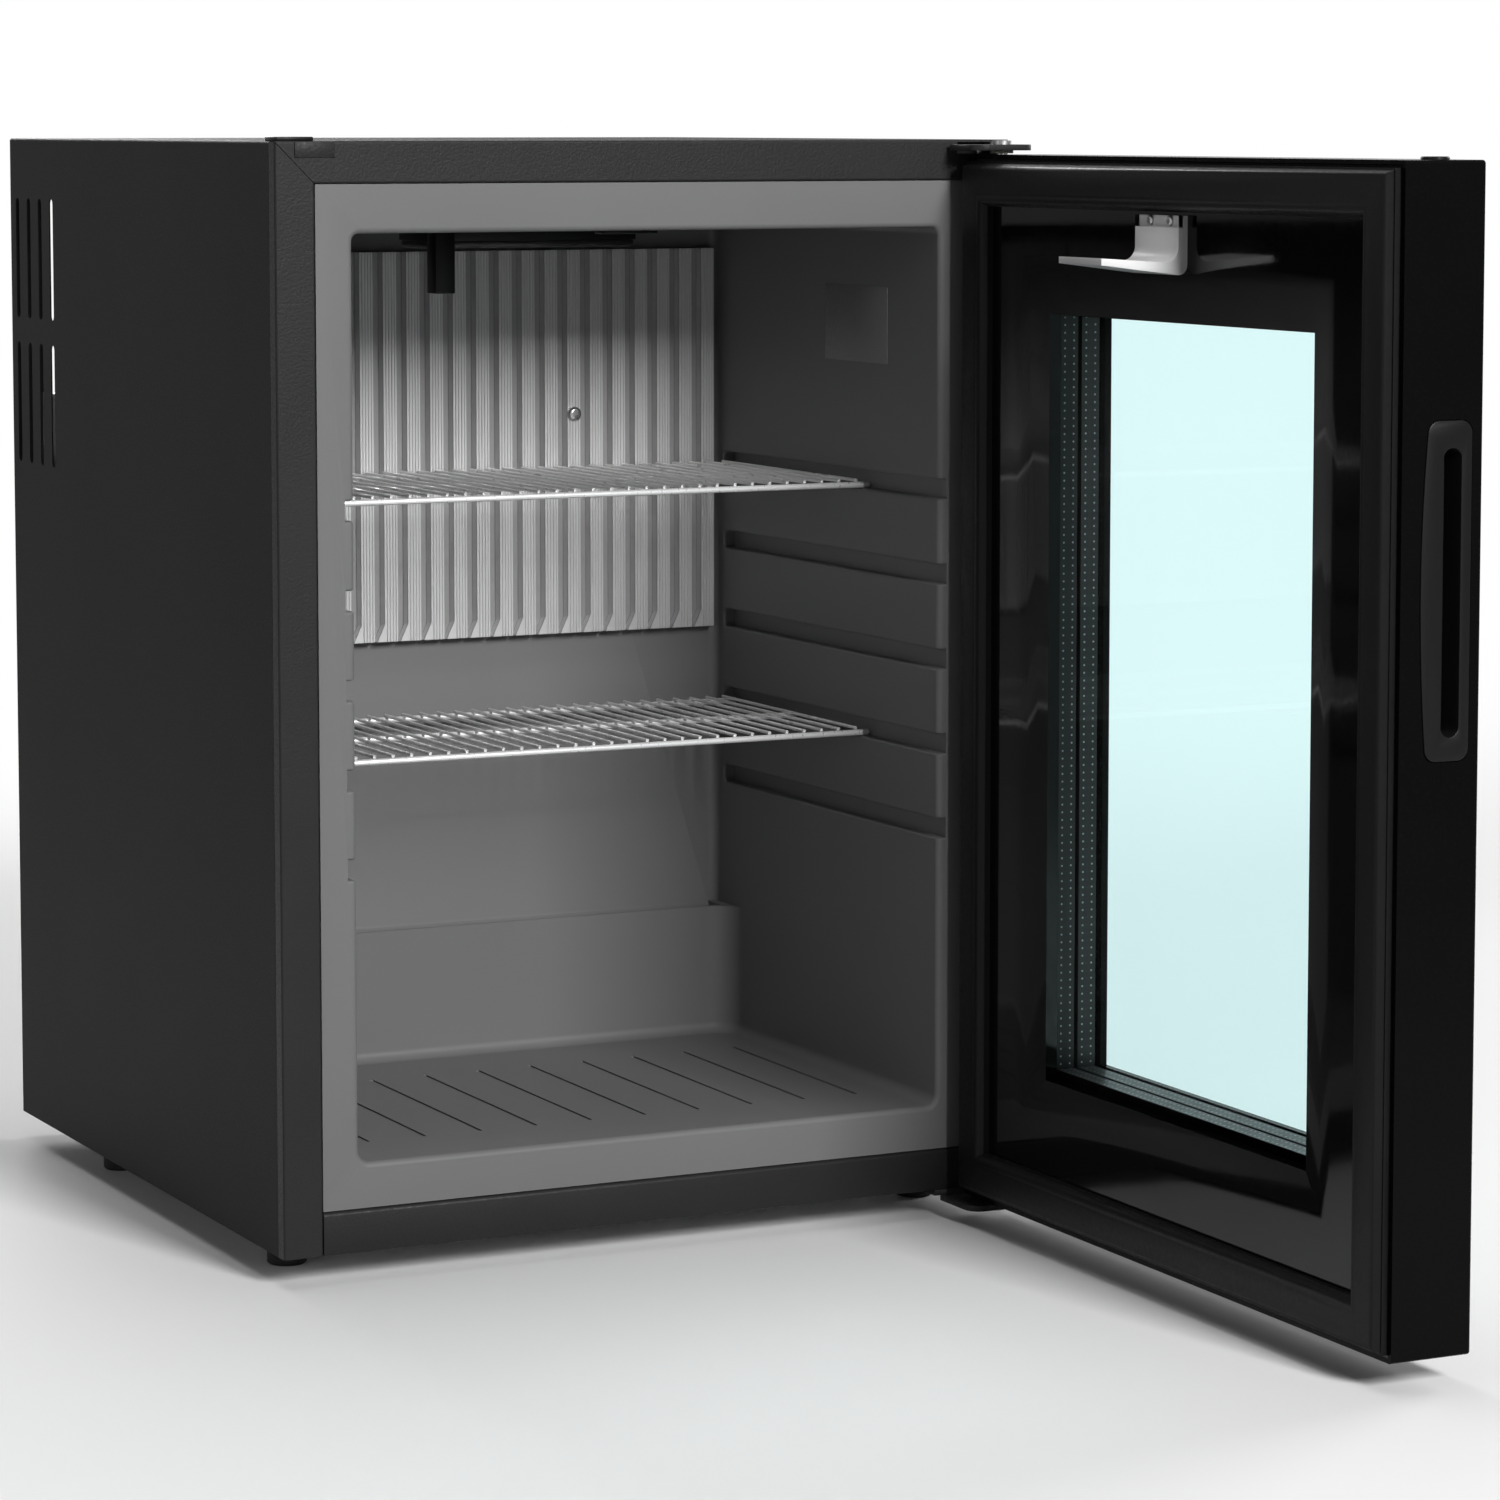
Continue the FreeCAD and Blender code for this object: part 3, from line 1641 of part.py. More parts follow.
def make_absorber_vessel():
    z = bottom_z + vessel_height
    length = vessel_right_x - vessel_left_x
    body = rod(V(vessel_left_x, unit_y, z), V(1, 0, 0), vessel_radius, length)
    body = rounded(body, vessel_radius / 2, lambda e, p: not along(e, V(1, 0, 0)))
    room = rod(
        V(vessel_left_x + vessel_radius / 2, unit_y, z),
        V(1, 0, 0),
        vessel_radius - vessel_wall,
        length - vessel_radius,
    )
    inlet = rod(V(coil_right_x, unit_y, z), V(0, 0, 1), tube_radius - tube_wall, vessel_radius + overrun)
    outlet_place = V(vessel_left_x - overrun, unit_y, z)
    outlet = rod(outlet_place, V(1, 0, 0), exchanger_radius - tube_wall, vessel_radius)
    return body.cut([room, inlet, outlet])


def make_heat_exchanger():
    z = bottom_z + vessel_height
    route = [
        V(vessel_left_x - panel_gap, unit_y, z),
        V(boiler_x, unit_y, z),
        V(boiler_x, unit_y, bottom_z + boiler_low_height - panel_gap),
    ]
    return bent_tube(route, exchanger_radius, tube_wall, exchanger_bend)


def make_unit_rails():
    """Two bars with an arm for each run that they carry, and the two blocks behind the jacket."""
    rails = []
    y0 = panel_face()
    bar_places = [
        fin_first_x + (fins_before_bar - 0.5) * fin_pitch + fin_thickness / 2,
        fin_first_x + fin_count * fin_pitch,
    ]
    tube_reach = unit_y - tube_radius - panel_gap
    arm_ends = [(coil_low_height + run * coil_pitch, tube_reach) for run in range(coil_runs + 1)]
    arm_ends.append((condenser_height, tube_reach))
    arm_ends.append((vessel_height, unit_y - vessel_radius - panel_gap))
    for x in bar_places:
        left = x - bar_half_width
        right = x + bar_half_width
        low = bottom_z + bar_low_height
        pieces = [block(left, right, y0, y0 + bar_thickness, low, bottom_z + bar_high_height)]
        for height, reach in arm_ends:
            z = bottom_z + height
            pieces.append(block(left, right, y0, reach, z - arm_half_height, z + arm_half_height))
        rails.append(joined(pieces))
    for height in jacket_bracket_heights:
        z = bottom_z + height
        rails.append(
            block(
                boiler_x - jacket_bracket_half_width,
                boiler_x + jacket_bracket_half_width,
                panel_face(),
                unit_y - jacket_half_depth,
                z - arm_half_height,
                z + arm_half_height,
            )
        )
    return Part.makeCompound(rails)


# Control box

def inlet_z():
    return base_top + box_height / 2


def make_control_box():
    return shell_box(
        box_left, box_right, box_front, box_back, base_top, base_top + box_height, box_wall, "+Y"
    )


def make_control_box_cover():
    cover = block(box_left, box_right, box_back, box_back + box_cover, base_top, base_top + box_height)
    hole = block(
        inlet_x - inlet_half_width - seam,
        inlet_x + inlet_half_width + seam,
        box_back - overrun,
        box_back + 2 * overrun,
        inlet_z() - inlet_half_height - seam,
        inlet_z() + inlet_half_height + seam,
    )
    return cover.cut(hole)


def make_mains_inlet():
    """A three-pin inlet, open to the rear."""
    face = box_back + box_cover
    socket = shell_box(
        inlet_x - inlet_half_width,
        inlet_x + inlet_half_width,
        face - inlet_reach,
        face + inlet_flange_thickness,
        inlet_z() - inlet_half_height,
        inlet_z() + inlet_half_height,
        inlet_wall,
        "+Y",
    )
    flange = block(
        inlet_x - inlet_half_width - inlet_flange,
        inlet_x + inlet_half_width + inlet_flange,
        face,
        face + inlet_flange_thickness,
        inlet_z() - inlet_half_height - inlet_flange,
        inlet_z() + inlet_half_height + inlet_flange,
    )
    hole = block(
        inlet_x - inlet_half_width + inlet_wall,
        inlet_x + inlet_half_width - inlet_wall,
        face - overrun,
        face + overrun,
        inlet_z() - inlet_half_height + inlet_wall,
        inlet_z() + inlet_half_height - inlet_wall,
    )
    pins = []
    for step in (-1, 0, 1):
        place = V(inlet_x + step * inlet_pin_spacing, face - inlet_reach, inlet_z())
        pins.append(rod(place, V(0, 1, 0), inlet_pin_radius, inlet_reach - inlet_wall))
    return joined([socket, flange.cut(hole)] + pins)


# Every piece, by its node's name

CABINET_PIECES = {
    "outer_wrap": make_outer_wrap,
    "front_stiles": lambda: Part.makeCompound([make_front_stile(-1), make_front_stile(1)]),
    "front_top_rail": make_front_top_rail,
    "front_bottom_rail": make_front_bottom_rail,
    "base_plate": make_base_plate,
    "feet": make_feet,
    "foot_screws": make_foot_screws,
    "inner_liner": make_inner_liner,
    "insulation_foam": make_insulation_foam,
    "foam_back_panel": make_foam_back_panel,
    "drain_spout": make_drain_spout,
    "drip_tray": make_drip_tray,
    "evaporator_plate": make_evaporator_plate,
    "evaporator_screws": make_evaporator_screws,
    "evaporator_block": make_evaporator_block,
    "evaporator_tube": make_evaporator_tube,
    "lamp_housing": make_lamp_housing,
    "lamp_lens": make_lamp_lens,
    "lamp_board": make_lamp_board,
    "sensor_cover": make_sensor_cover,
    "temperature_sensor": make_temperature_sensor,
    "light_switch": make_light_switch,
    "blank_label": make_blank_label,
    "top_hinge_bracket": make_top_hinge_bracket,
    "bottom_hinge_bracket": make_bottom_hinge_bracket,
    "hinge_anchors": make_hinge_anchors,
    "hinge_screws": make_hinge_screws,
    "hinge_pins": make_hinge_pins,
    "hinge_washers": make_hinge_washers,
    "hinge_slot_cover": make_hinge_slot_cover,
    "top_corner_cap": make_top_corner_cap,
    "boiler_jacket": make_boiler_jacket,
    "boiler_insulation": make_boiler_insulation,
    "boiler_tube": make_boiler_tube,
    "heating_element": make_heating_element,
    "condenser_tube": make_condenser_tube,
    "condenser_fins": make_condenser_fins,
    "absorber_coil": make_absorber_coil,
    "absorber_vessel": make_absorber_vessel,
    "heat_exchanger": make_heat_exchanger,
    "unit_rails": make_unit_rails,
    "control_box": make_control_box,
    "control_box_cover": make_control_box_cover,
    "mains_inlet": make_mains_inlet,
}

DOOR_PIECES = {
    "door_frame": make_door_frame,
    "door_foam": make_door_foam,
    "inner_door_panel": make_inner_door_panel,
    "door_gasket": make_door_gasket,
    "gasket_magnet": make_gasket_magnet,
    "outer_pane": lambda: pane(pane_depths()[2], outer_pane_thickness),
    "inner_panes": lambda: Part.makeCompound([pane(depth, pane_thickness) for depth in pane_depths()[:2]]),
    "glass_spacers": lambda: Part.makeCompound(
        [make_spacer(depth + pane_thickness) for depth in pane_depths()[:2]]
    ),
    "glass_edge_seals": make_glass_edge_seals,
    "handle_insert": make_handle_insert,
    "door_bushes": make_door_bushes,
    "door_hole_cap": make_door_hole_cap,
    "door_striker": make_door_striker,
    "striker_screws": make_striker_screws,
}

for node, make in CABINET_PIECES.items():
    make().exportStep("parts/" + node + ".step")
for node, make in DOOR_PIECES.items():
    opened(make()).exportStep("parts/" + node + ".step")
make_shelf(upper_shelf_groove_count).exportStep("parts/upper_shelf.step")
make_shelf(lower_shelf_groove_count).exportStep("parts/lower_shelf.step")
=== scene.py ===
import json
import math

import bmesh
import bpy
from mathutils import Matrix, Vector


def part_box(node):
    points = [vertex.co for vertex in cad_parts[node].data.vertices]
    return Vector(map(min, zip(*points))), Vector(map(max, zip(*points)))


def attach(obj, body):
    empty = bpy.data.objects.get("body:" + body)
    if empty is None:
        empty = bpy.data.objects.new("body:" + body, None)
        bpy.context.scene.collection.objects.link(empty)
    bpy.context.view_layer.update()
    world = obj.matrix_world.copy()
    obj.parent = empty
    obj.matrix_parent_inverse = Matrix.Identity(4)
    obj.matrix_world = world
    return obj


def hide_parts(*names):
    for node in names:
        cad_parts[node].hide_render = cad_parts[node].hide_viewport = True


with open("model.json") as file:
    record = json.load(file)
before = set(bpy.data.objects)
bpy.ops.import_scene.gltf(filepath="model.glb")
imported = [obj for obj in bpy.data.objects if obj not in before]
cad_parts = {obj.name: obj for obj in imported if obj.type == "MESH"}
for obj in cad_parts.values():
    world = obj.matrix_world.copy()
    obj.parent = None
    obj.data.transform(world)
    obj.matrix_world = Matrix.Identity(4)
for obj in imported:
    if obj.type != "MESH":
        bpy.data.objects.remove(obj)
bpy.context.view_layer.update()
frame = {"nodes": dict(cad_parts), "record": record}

# Camera, found from the corners of the cabinet and the door
camera_place = Vector((-1.0460, -2.4320, 0.5700))
camera_heading = math.radians(26.26)
camera_pitch = math.radians(-5.38)
camera_lens = 118.5
camera_shift_y = -0.11

# Studio
backdrop_grey = 1.0
room_grey = 0.40
backdrop_turn_start = 0.72
backdrop_turn_end = 0.95
world_light = 0.14
floor_grey = 0.90
floor_bounce = 0.22
floor_size = 40.0
fade_start = 0.9
fade_end = 2.2

# Lamps: name, place, the point it looks at, size and power in watts
lamps = (
    ("front_softbox", (0.34, -3.30, 1.78), (0.0, -0.20, 0.30), (0.66, 1.0), 110.0),
    ("left_softbox", (-3.4, -1.2, 1.2), (0.0, 0.0, 0.3), (1.6, 1.6), 6.0),
    ("top_softbox", (-0.2, 0.2, 3.0), (0.0, 0.0, 0.5), (1.6, 1.6), 22.0),
    ("right_softbox", (3.2, 0.6, 1.6), (0.2, 0.0, 0.3), (1.4, 1.4), 45.0),
    ("back_softbox", (0.3, 3.4, 1.7), (0.0, 0.2, 0.3), (1.4, 1.4), 55.0),
)

mm = 0.001

# Points closer than this are one point, and places closer than the other value count as level
merge_distance = 0.01 * mm
level_distance = 0.05 * mm

# Wire shelves
rail_radius = 1.6 * mm
wire_radius = 0.9 * mm
weld_sink = 0.2 * mm
wire_overhang = 1.6 * mm
middle_rail_y = -35.0 * mm
wire_count = 32
end_wire_inset = 7.4 * mm
front_rail_inset = 3.2 * mm
hook_bend = 1.0 * mm
hook_steps = 5
rail_sides = 20
wire_sides = 14
wire_merge_distance = 0.001 * mm

# Door gasket: how far each step goes inwards, and how far it stands up
gasket_steps = (
    (0.9, 0.0), (0.4, 0.5), (0.7, 2.8), (0.9, 0.7), (1.6, 0.2), (11.0, 0.0),
    (1.0, -0.35), (1.2, 0.25), (1.7, -0.3), (1.4, -1.1), (1.0, -1.6), (0.4, -1.0),
)
gasket_wall = 3.0 * mm
gasket_last_step = 0.3 * mm

# Rounded edges of the liner's flange and of the door's inner panel, and the panel's flat border
flange_round = 1.1 * mm
panel_round = 5.0 * mm
panel_flat = 35.0 * mm

# How far the edge round the window stands in at each side, and how deep it begins
lip_in_top = 7.5 * mm
lip_in_low = 8.5 * mm
lip_in_hinge = 8.0 * mm
lip_in_free = 3.5 * mm
lip_depth = 2.4 * mm

# White arm on the door
arm_leg = 5.0 * mm
arm_root_top = 502.6 * mm
arm_tip_top = 505.4 * mm
arm_tip_low = 502.2 * mm
arm_inner_round = 7.5 * mm
arm_outer_round = 4.6 * mm
arm_screw_land = 519.4 * mm
arm_land_depth = 2.4 * mm
arm_screw_spread = 9.0 * mm
arm_screw_height = 522.4 * mm
arm_edge_round = 0.5 * mm
arm_screw_head_radius = 2.5 * mm
arm_screw_head_height = 1.6 * mm
arm_screw_shank_radius = 1.5 * mm
arm_screw_shank_length = 12.0 * mm

# Screws of the cooling plate, and the shares of a screw's head that shape its dome and its cross recess
plate_screw_head_height = 2.5 * mm
plate_screw_shank_radius = 2.0 * mm
screw_head_sides = 32
screw_shank_sides = 20
dome_share = 0.75
recess_reach_share = 0.55
recess_width_share = 0.13
recess_depth_share = 0.6

# Cooling plate: how far back its bands, the flanks beside them and the valleys lie, which set where the
# material paints a highlight on the flanks and shade in the valleys
plate_band_y = 45.9 * mm
plate_flank_y = 46.4 * mm
plate_foot_y = 50.0 * mm
plate_valley_y = 50.6 * mm

# Bars between the panes
spacer_middle_x = 191.0 * mm
spacer_pitch = 13.0 * mm
spacer_row_spread = 2.6 * mm
spacer_hole_pitch = 3.9 * mm
spacer_hole_radius = 0.6 * mm
window_middle_z = 282.0 * mm
window_half_height = 190.0 * mm


def deselect_all():
    if bpy.context.mode != "OBJECT":
        bpy.ops.object.mode_set(mode="OBJECT")
    bpy.ops.object.select_all(action="DESELECT")


def make_camera():
    data = bpy.data.cameras.new("camera")
    camera = bpy.data.objects.new("camera", data)
    bpy.context.scene.collection.objects.link(camera)
    camera.location = camera_place
    camera.rotation_euler = (math.pi / 2 + camera_pitch, 0.0, -camera_heading)
    data.lens = camera_lens
    data.sensor_width = 36.0
    data.shift_y = camera_shift_y
    data.clip_start = 0.05
    data.clip_end = 100.0
    bpy.context.scene.camera = camera


# Node helpers

class Nodes:
    """A short way to build a node tree: each call adds a node and returns its output."""

    def __init__(self, tree):
        self.tree = tree

    def add(self, kind, inputs=None, output=0, **settings):
        node = self.tree.nodes.new(kind)
        for name, value in settings.items():
            setattr(node, name, value)
        for name, value in (inputs or {}).items():
            socket = node.inputs[name]
            if isinstance(value, bpy.types.NodeSocket):
                self.tree.links.new(value, socket)
            else:
                socket.default_value = value
        return node.outputs[output]

    def math(self, operation, a, b=0.0):
        return self.add("ShaderNodeMath", {0: a, 1: b}, operation=operation)

    def seen_directly(self):
        """1 for rays from the camera, from gloss and through glass, 0 for light."""
        path = self.tree.nodes.new("ShaderNodeLightPath")
        seen = self.math("ADD", path.outputs["Is Camera Ray"], path.outputs["Is Glossy Ray"])
        seen = self.math("ADD", seen, path.outputs["Is Transmission Ray"])
        return self.math("MINIMUM", seen, 1.0)

    def place(self, scale=(1.0, 1.0, 1.0)):
        """Object coordinates in metres, stretched by the scale."""
        coordinates = self.add("ShaderNodeTexCoord", output="Object")
        return self.add("ShaderNodeMapping", {"Vector": coordinates, "Scale": scale})

    def noise(self, scale, detail=2.0, stretch=(1.0, 1.0, 1.0)):
        inputs = {"Vector": self.place(stretch), "Scale": scale, "Detail": detail}
        return self.add("ShaderNodeTexNoise", inputs)

    def spread(self, value, low, high):
        """A noise value from about 0.3 to 0.7, spread from low to high."""
        inputs = {"Value": value, "From Min": 0.3, "From Max": 0.7, "To Min": low, "To Max": high}
        return self.add("ShaderNodeMapRange", inputs)

    def between(self, factor, dark, light):
        """A colour from dark to light."""
        node = self.tree.nodes.new("ShaderNodeMix")
        node.data_type = "RGBA"
        self.tree.links.new(factor, node.inputs["Factor"])
        for socket, value in (("A", dark), ("B", light)):
            chosen = [s for s in node.inputs if s.name == socket and s.type == "RGBA"][0]
            if isinstance(value, bpy.types.NodeSocket):
                self.tree.links.new(value, chosen)
            else:
                chosen.default_value = value
        return [s for s in node.outputs if s.type == "RGBA"][0]

    def bump(self, height, strength, distance, below=None):
        inputs = {"Height": height, "Strength": strength, "Distance": distance}
        if below is not None:
            inputs["Normal"] = below
        return self.add("ShaderNodeBump", inputs)


def grey(value):
    return (value, value, value, 1.0)


materials = {}


def material(name):
    """Registers the function that builds the finish of one material slot."""
    def keep(build):
        made = bpy.data.materials.new(name)
        made.use_nodes = True
        shader = made.node_tree.nodes["Principled BSDF"]
        build(Nodes(made.node_tree), Surface(made.node_tree, shader))
        materials[name] = made
        return build
    return keep


class Surface:
    """The Principled surface of one material, set socket by socket."""

    def __init__(self, tree, shader):
        self.tree = tree
        self.shader = shader

    def set(self, **sockets):
        for name, value in sockets.items():
            socket = self.shader.inputs[name.replace("_", " ")]
            if isinstance(value, bpy.types.NodeSocket):
                self.tree.links.new(value, socket)
            else:
                socket.default_value = value


@material("cabinet_paint")
def cabinet_paint(nodes, surface):
    grain = nodes.noise(1100.0, 3.0)
    cloud = nodes.noise(9.0, 2.0)
    surface.set(
        Base_Color=nodes.between(cloud, grey(0.030), grey(0.040)),
        Roughness=nodes.spread(grain, 0.44, 0.60),
        Specular_IOR_Level=0.05,
        Normal=nodes.bump(grain, 0.45, 0.25 * mm),
    )


@material("frame_paint")
def frame_paint(nodes, surface):
    grain = nodes.noise(750.0, 3.0)
    cloud = nodes.noise(20.0, 2.0)
    surface.set(
        Base_Color=nodes.between(cloud, grey(0.018), grey(0.024)),
        Roughness=nodes.spread(grain, 0.38, 0.56),
        Specular_IOR_Level=0.20,
        Normal=nodes.bump(grain, 0.60, 0.3 * mm),
    )


@material("galvanised_sheet")
def galvanised_sheet(nodes, surface):
    spangle = nodes.add("ShaderNodeTexVoronoi", {"Vector": nodes.place(), "Scale": 130.0}, output="Color")
    tone = nodes.add("ShaderNodeSeparateColor", {"Color": spangle})
    surface.set(
        Base_Color=nodes.between(tone, grey(0.42), grey(0.62)),
        Metallic=0.95,
        Roughness=nodes.add("ShaderNodeMapRange", {"Value": tone, "To Min": 0.35, "To Max": 0.55}),
        Normal=nodes.bump(nodes.noise(60.0), 0.1, 0.2 * mm),
    )


@material("liner_plastic")
def liner_plastic(nodes, surface):
    cloud = nodes.noise(7.0, 3.0)
    skin = nodes.noise(900.0, 2.0)
    surface.set(
        Base_Color=nodes.between(cloud, grey(0.172), grey(0.190)),
        Roughness=nodes.spread(cloud, 0.42, 0.50),
        Specular_IOR_Level=0.30,
        Normal=nodes.bump(skin, 0.12, 0.1 * mm),
    )


@material("foam")
def foam(nodes, surface):
    cells = nodes.add("ShaderNodeTexVoronoi", {"Vector": nodes.place(), "Scale": 600.0})
    surface.set(
        Base_Color=nodes.between(nodes.noise(30.0), (0.62, 0.50, 0.27, 1.0), (0.74, 0.64, 0.40, 1.0)),
        Roughness=0.9,
        Normal=nodes.bump(cells, 0.6, 0.6 * mm),
    )


@material("cooling_aluminium")
def cooling_aluminium(nodes, surface):
    streaks = nodes.noise(60.0, 4.0, (40.0, 40.0, 0.6))
    cloud = nodes.noise(12.0, 2.0)
    place = nodes.add("ShaderNodeTexCoord", output="Object")
    depth = nodes.add("ShaderNodeSeparateXYZ", {"Vector": place}, output="Y")

    def between_depths(start, end):
        return nodes.add("ShaderNodeMapRange", {"Value": depth, "From Min": start, "From Max": end})

    # The flanks beside the bands are painted lighter as a painted highlight, and the valleys are painted
    # darker as painted shade between the ribs
    painted_flank_highlight = between_depths(plate_band_y, plate_flank_y)
    painted_valley_shade = between_depths(plate_foot_y, plate_valley_y)
    band = nodes.between(cloud, grey(0.61), grey(0.69))
    surface.set(
        Base_Color=nodes.between(painted_valley_shade, nodes.between(painted_flank_highlight, band, grey(0.82)), grey(0.30)),
        Metallic=0.6,
        Roughness=nodes.spread(streaks, 0.42, 0.56),
        Normal=nodes.bump(streaks, 0.15, 0.1 * mm),
    )


@material("unit_paint")
def unit_paint(nodes, surface):
    runs = nodes.noise(160.0, 3.0)
    surface.set(
        Base_Color=nodes.between(nodes.noise(25.0), grey(0.010), grey(0.020)),
        Roughness=nodes.spread(runs, 0.30, 0.50),
        Normal=nodes.bump(runs, 0.25, 0.3 * mm),
    )


@material("jacket_sheet")
def jacket_sheet(nodes, surface):
    cloud = nodes.noise(18.0, 3.0)
    surface.set(
        Base_Color=nodes.between(cloud, grey(0.50), grey(0.62)),
        Metallic=0.6,
        Roughness=nodes.spread(nodes.noise(90.0, 3.0), 0.38, 0.58),
        Normal=nodes.bump(cloud, 0.15, 1.0 * mm),
    )


@material("mineral_wool")
def mineral_wool(nodes, surface):
    fibres = nodes.noise(220.0, 6.0, (1.0, 1.0, 5.0))
    surface.set(
        Base_Color=nodes.between(fibres, (0.36, 0.27, 0.12, 1.0), (0.62, 0.52, 0.30, 1.0)),
        Roughness=0.95,
        Normal=nodes.bump(fibres, 0.9, 1.0 * mm),
    )


@material("steel_fastener")
def steel_fastener(nodes, surface):
    scuff = nodes.noise(900.0, 4.0, (1.0, 1.0, 0.3))
    surface.set(
        Base_Color=nodes.between(nodes.noise(200.0), grey(0.48), grey(0.62)),
        Metallic=1.0,
        Roughness=nodes.spread(scuff, 0.22, 0.40),
        Normal=nodes.bump(scuff, 0.08, 0.05 * mm),
    )


@material("shelf_wire")
def shelf_wire(nodes, surface):
    drawn = nodes.noise(500.0, 3.0, (1.0, 0.15, 1.0))
    surface.set(
        Base_Color=nodes.between(nodes.noise(40.0), grey(0.90), grey(0.97)),
        Metallic=0.3,
        Roughness=nodes.spread(drawn, 0.26, 0.36),
        Normal=nodes.bump(drawn, 0.08, 0.05 * mm),
    )


@material("black_plastic")
def black_plastic(nodes, surface):
    grain = nodes.noise(1400.0, 2.0)
    surface.set(
        Base_Color=nodes.between(nodes.noise(30.0), grey(0.004), grey(0.007)),
        Roughness=nodes.spread(grain, 0.34, 0.48),
        Specular_IOR_Level=0.18,
        Normal=nodes.bump(grain, 0.25, 0.08 * mm),
    )


@material("dark_lens")
def dark_lens(nodes, surface):
    reeds = nodes.add("ShaderNodeTexWave", {"Vector": nodes.place(), "Scale": 250.0})
    surface.set(
        Base_Color=nodes.between(nodes.noise(30.0), grey(0.02), grey(0.03)),
        Roughness=nodes.spread(nodes.noise(300.0), 0.18, 0.26),
        Normal=nodes.bump(reeds, 0.3, 0.2 * mm),
    )


@material("board")
def board(nodes, surface):
    tracks = nodes.add("ShaderNodeTexBrick", {"Vector": nodes.place(), "Scale": 60.0})
    surface.set(
        Base_Color=nodes.between(nodes.noise(60.0), (0.01, 0.10, 0.04, 1.0), (0.02, 0.16, 0.06, 1.0)),
        Roughness=0.35,
        Normal=nodes.bump(tracks, 0.2, 0.1 * mm),
    )


@material("label_foil")
def label_foil(nodes, surface):
    brushed = nodes.noise(120.0, 3.0, (1.0, 12.0, 1.0))
    surface.set(
        Base_Color=nodes.between(brushed, grey(0.185), grey(0.205)),
        Metallic=0.1,
        Roughness=nodes.spread(nodes.noise(400.0), 0.35, 0.50),
        Normal=nodes.bump(brushed, 0.05, 0.05 * mm),
    )


@material("clear_plastic")
def clear_plastic(nodes, surface):
    surface.set(
        Base_Color=nodes.between(nodes.noise(40.0), (0.80, 0.82, 0.82, 1.0), (0.90, 0.92, 0.92, 1.0)),
        Roughness=nodes.spread(nodes.noise(200.0), 0.25, 0.40),
        Transmission_Weight=0.5,
    )


@material("foot_rubber")
def foot_rubber(nodes, surface):
    grain = nodes.noise(800.0, 3.0)
    surface.set(
        Base_Color=nodes.between(nodes.noise(60.0), grey(0.008), grey(0.016)),
        Roughness=nodes.spread(grain, 0.65, 0.85),
        Normal=nodes.bump(grain, 0.3, 0.15 * mm),
    )


@material("door_plastic")
def door_plastic(nodes, surface):
    ripple = nodes.noise(35.0, 2.0)
    surface.set(
        Base_Color=nodes.between(nodes.noise(25.0), grey(0.002), grey(0.003)),
        Roughness=nodes.spread(nodes.noise(600.0, 3.0), 0.20, 0.30),
        Specular_IOR_Level=0.06,
        Normal=nodes.bump(ripple, 0.05, 1.0 * mm),
    )


@material("panel_gloss")
def panel_gloss(nodes, surface):
    ripple = nodes.noise(22.0, 2.0)
    surface.set(
        Base_Color=nodes.between(nodes.noise(15.0), grey(0.002), grey(0.003)),
        Roughness=nodes.spread(nodes.noise(300.0, 3.0), 0.05, 0.10),
        Specular_IOR_Level=0.30,
        Normal=nodes.bump(ripple, 0.06, 1.0 * mm),
    )


@material("gasket_rubber")
def gasket_rubber(nodes, surface):
    skin = nodes.noise(500.0, 3.0)
    surface.set(
        Base_Color=nodes.between(nodes.noise(30.0), grey(0.006), grey(0.009)),
        Roughness=nodes.spread(skin, 0.36, 0.50),
        Specular_IOR_Level=0.15,
        Normal=nodes.bump(skin, 0.06, 0.1 * mm),
    )


@material("magnet_strip")
def magnet_strip(nodes, surface):
    surface.set(
        Base_Color=nodes.between(nodes.noise(80.0), (0.03, 0.025, 0.02, 1.0), (0.06, 0.05, 0.04, 1.0)),
        Roughness=nodes.spread(nodes.noise(500.0), 0.6, 0.8),
    )


@material("clear_glass")
def clear_glass(nodes, surface):
    tint = nodes.between(nodes.noise(3.0), (0.906, 0.998, 1.0, 1.0), (0.914, 1.0, 1.0, 1.0))
    surface.set(
        Base_Color=tint,
        Roughness=0.0,
        IOR=1.09,
        Transmission_Weight=1.0,
    )


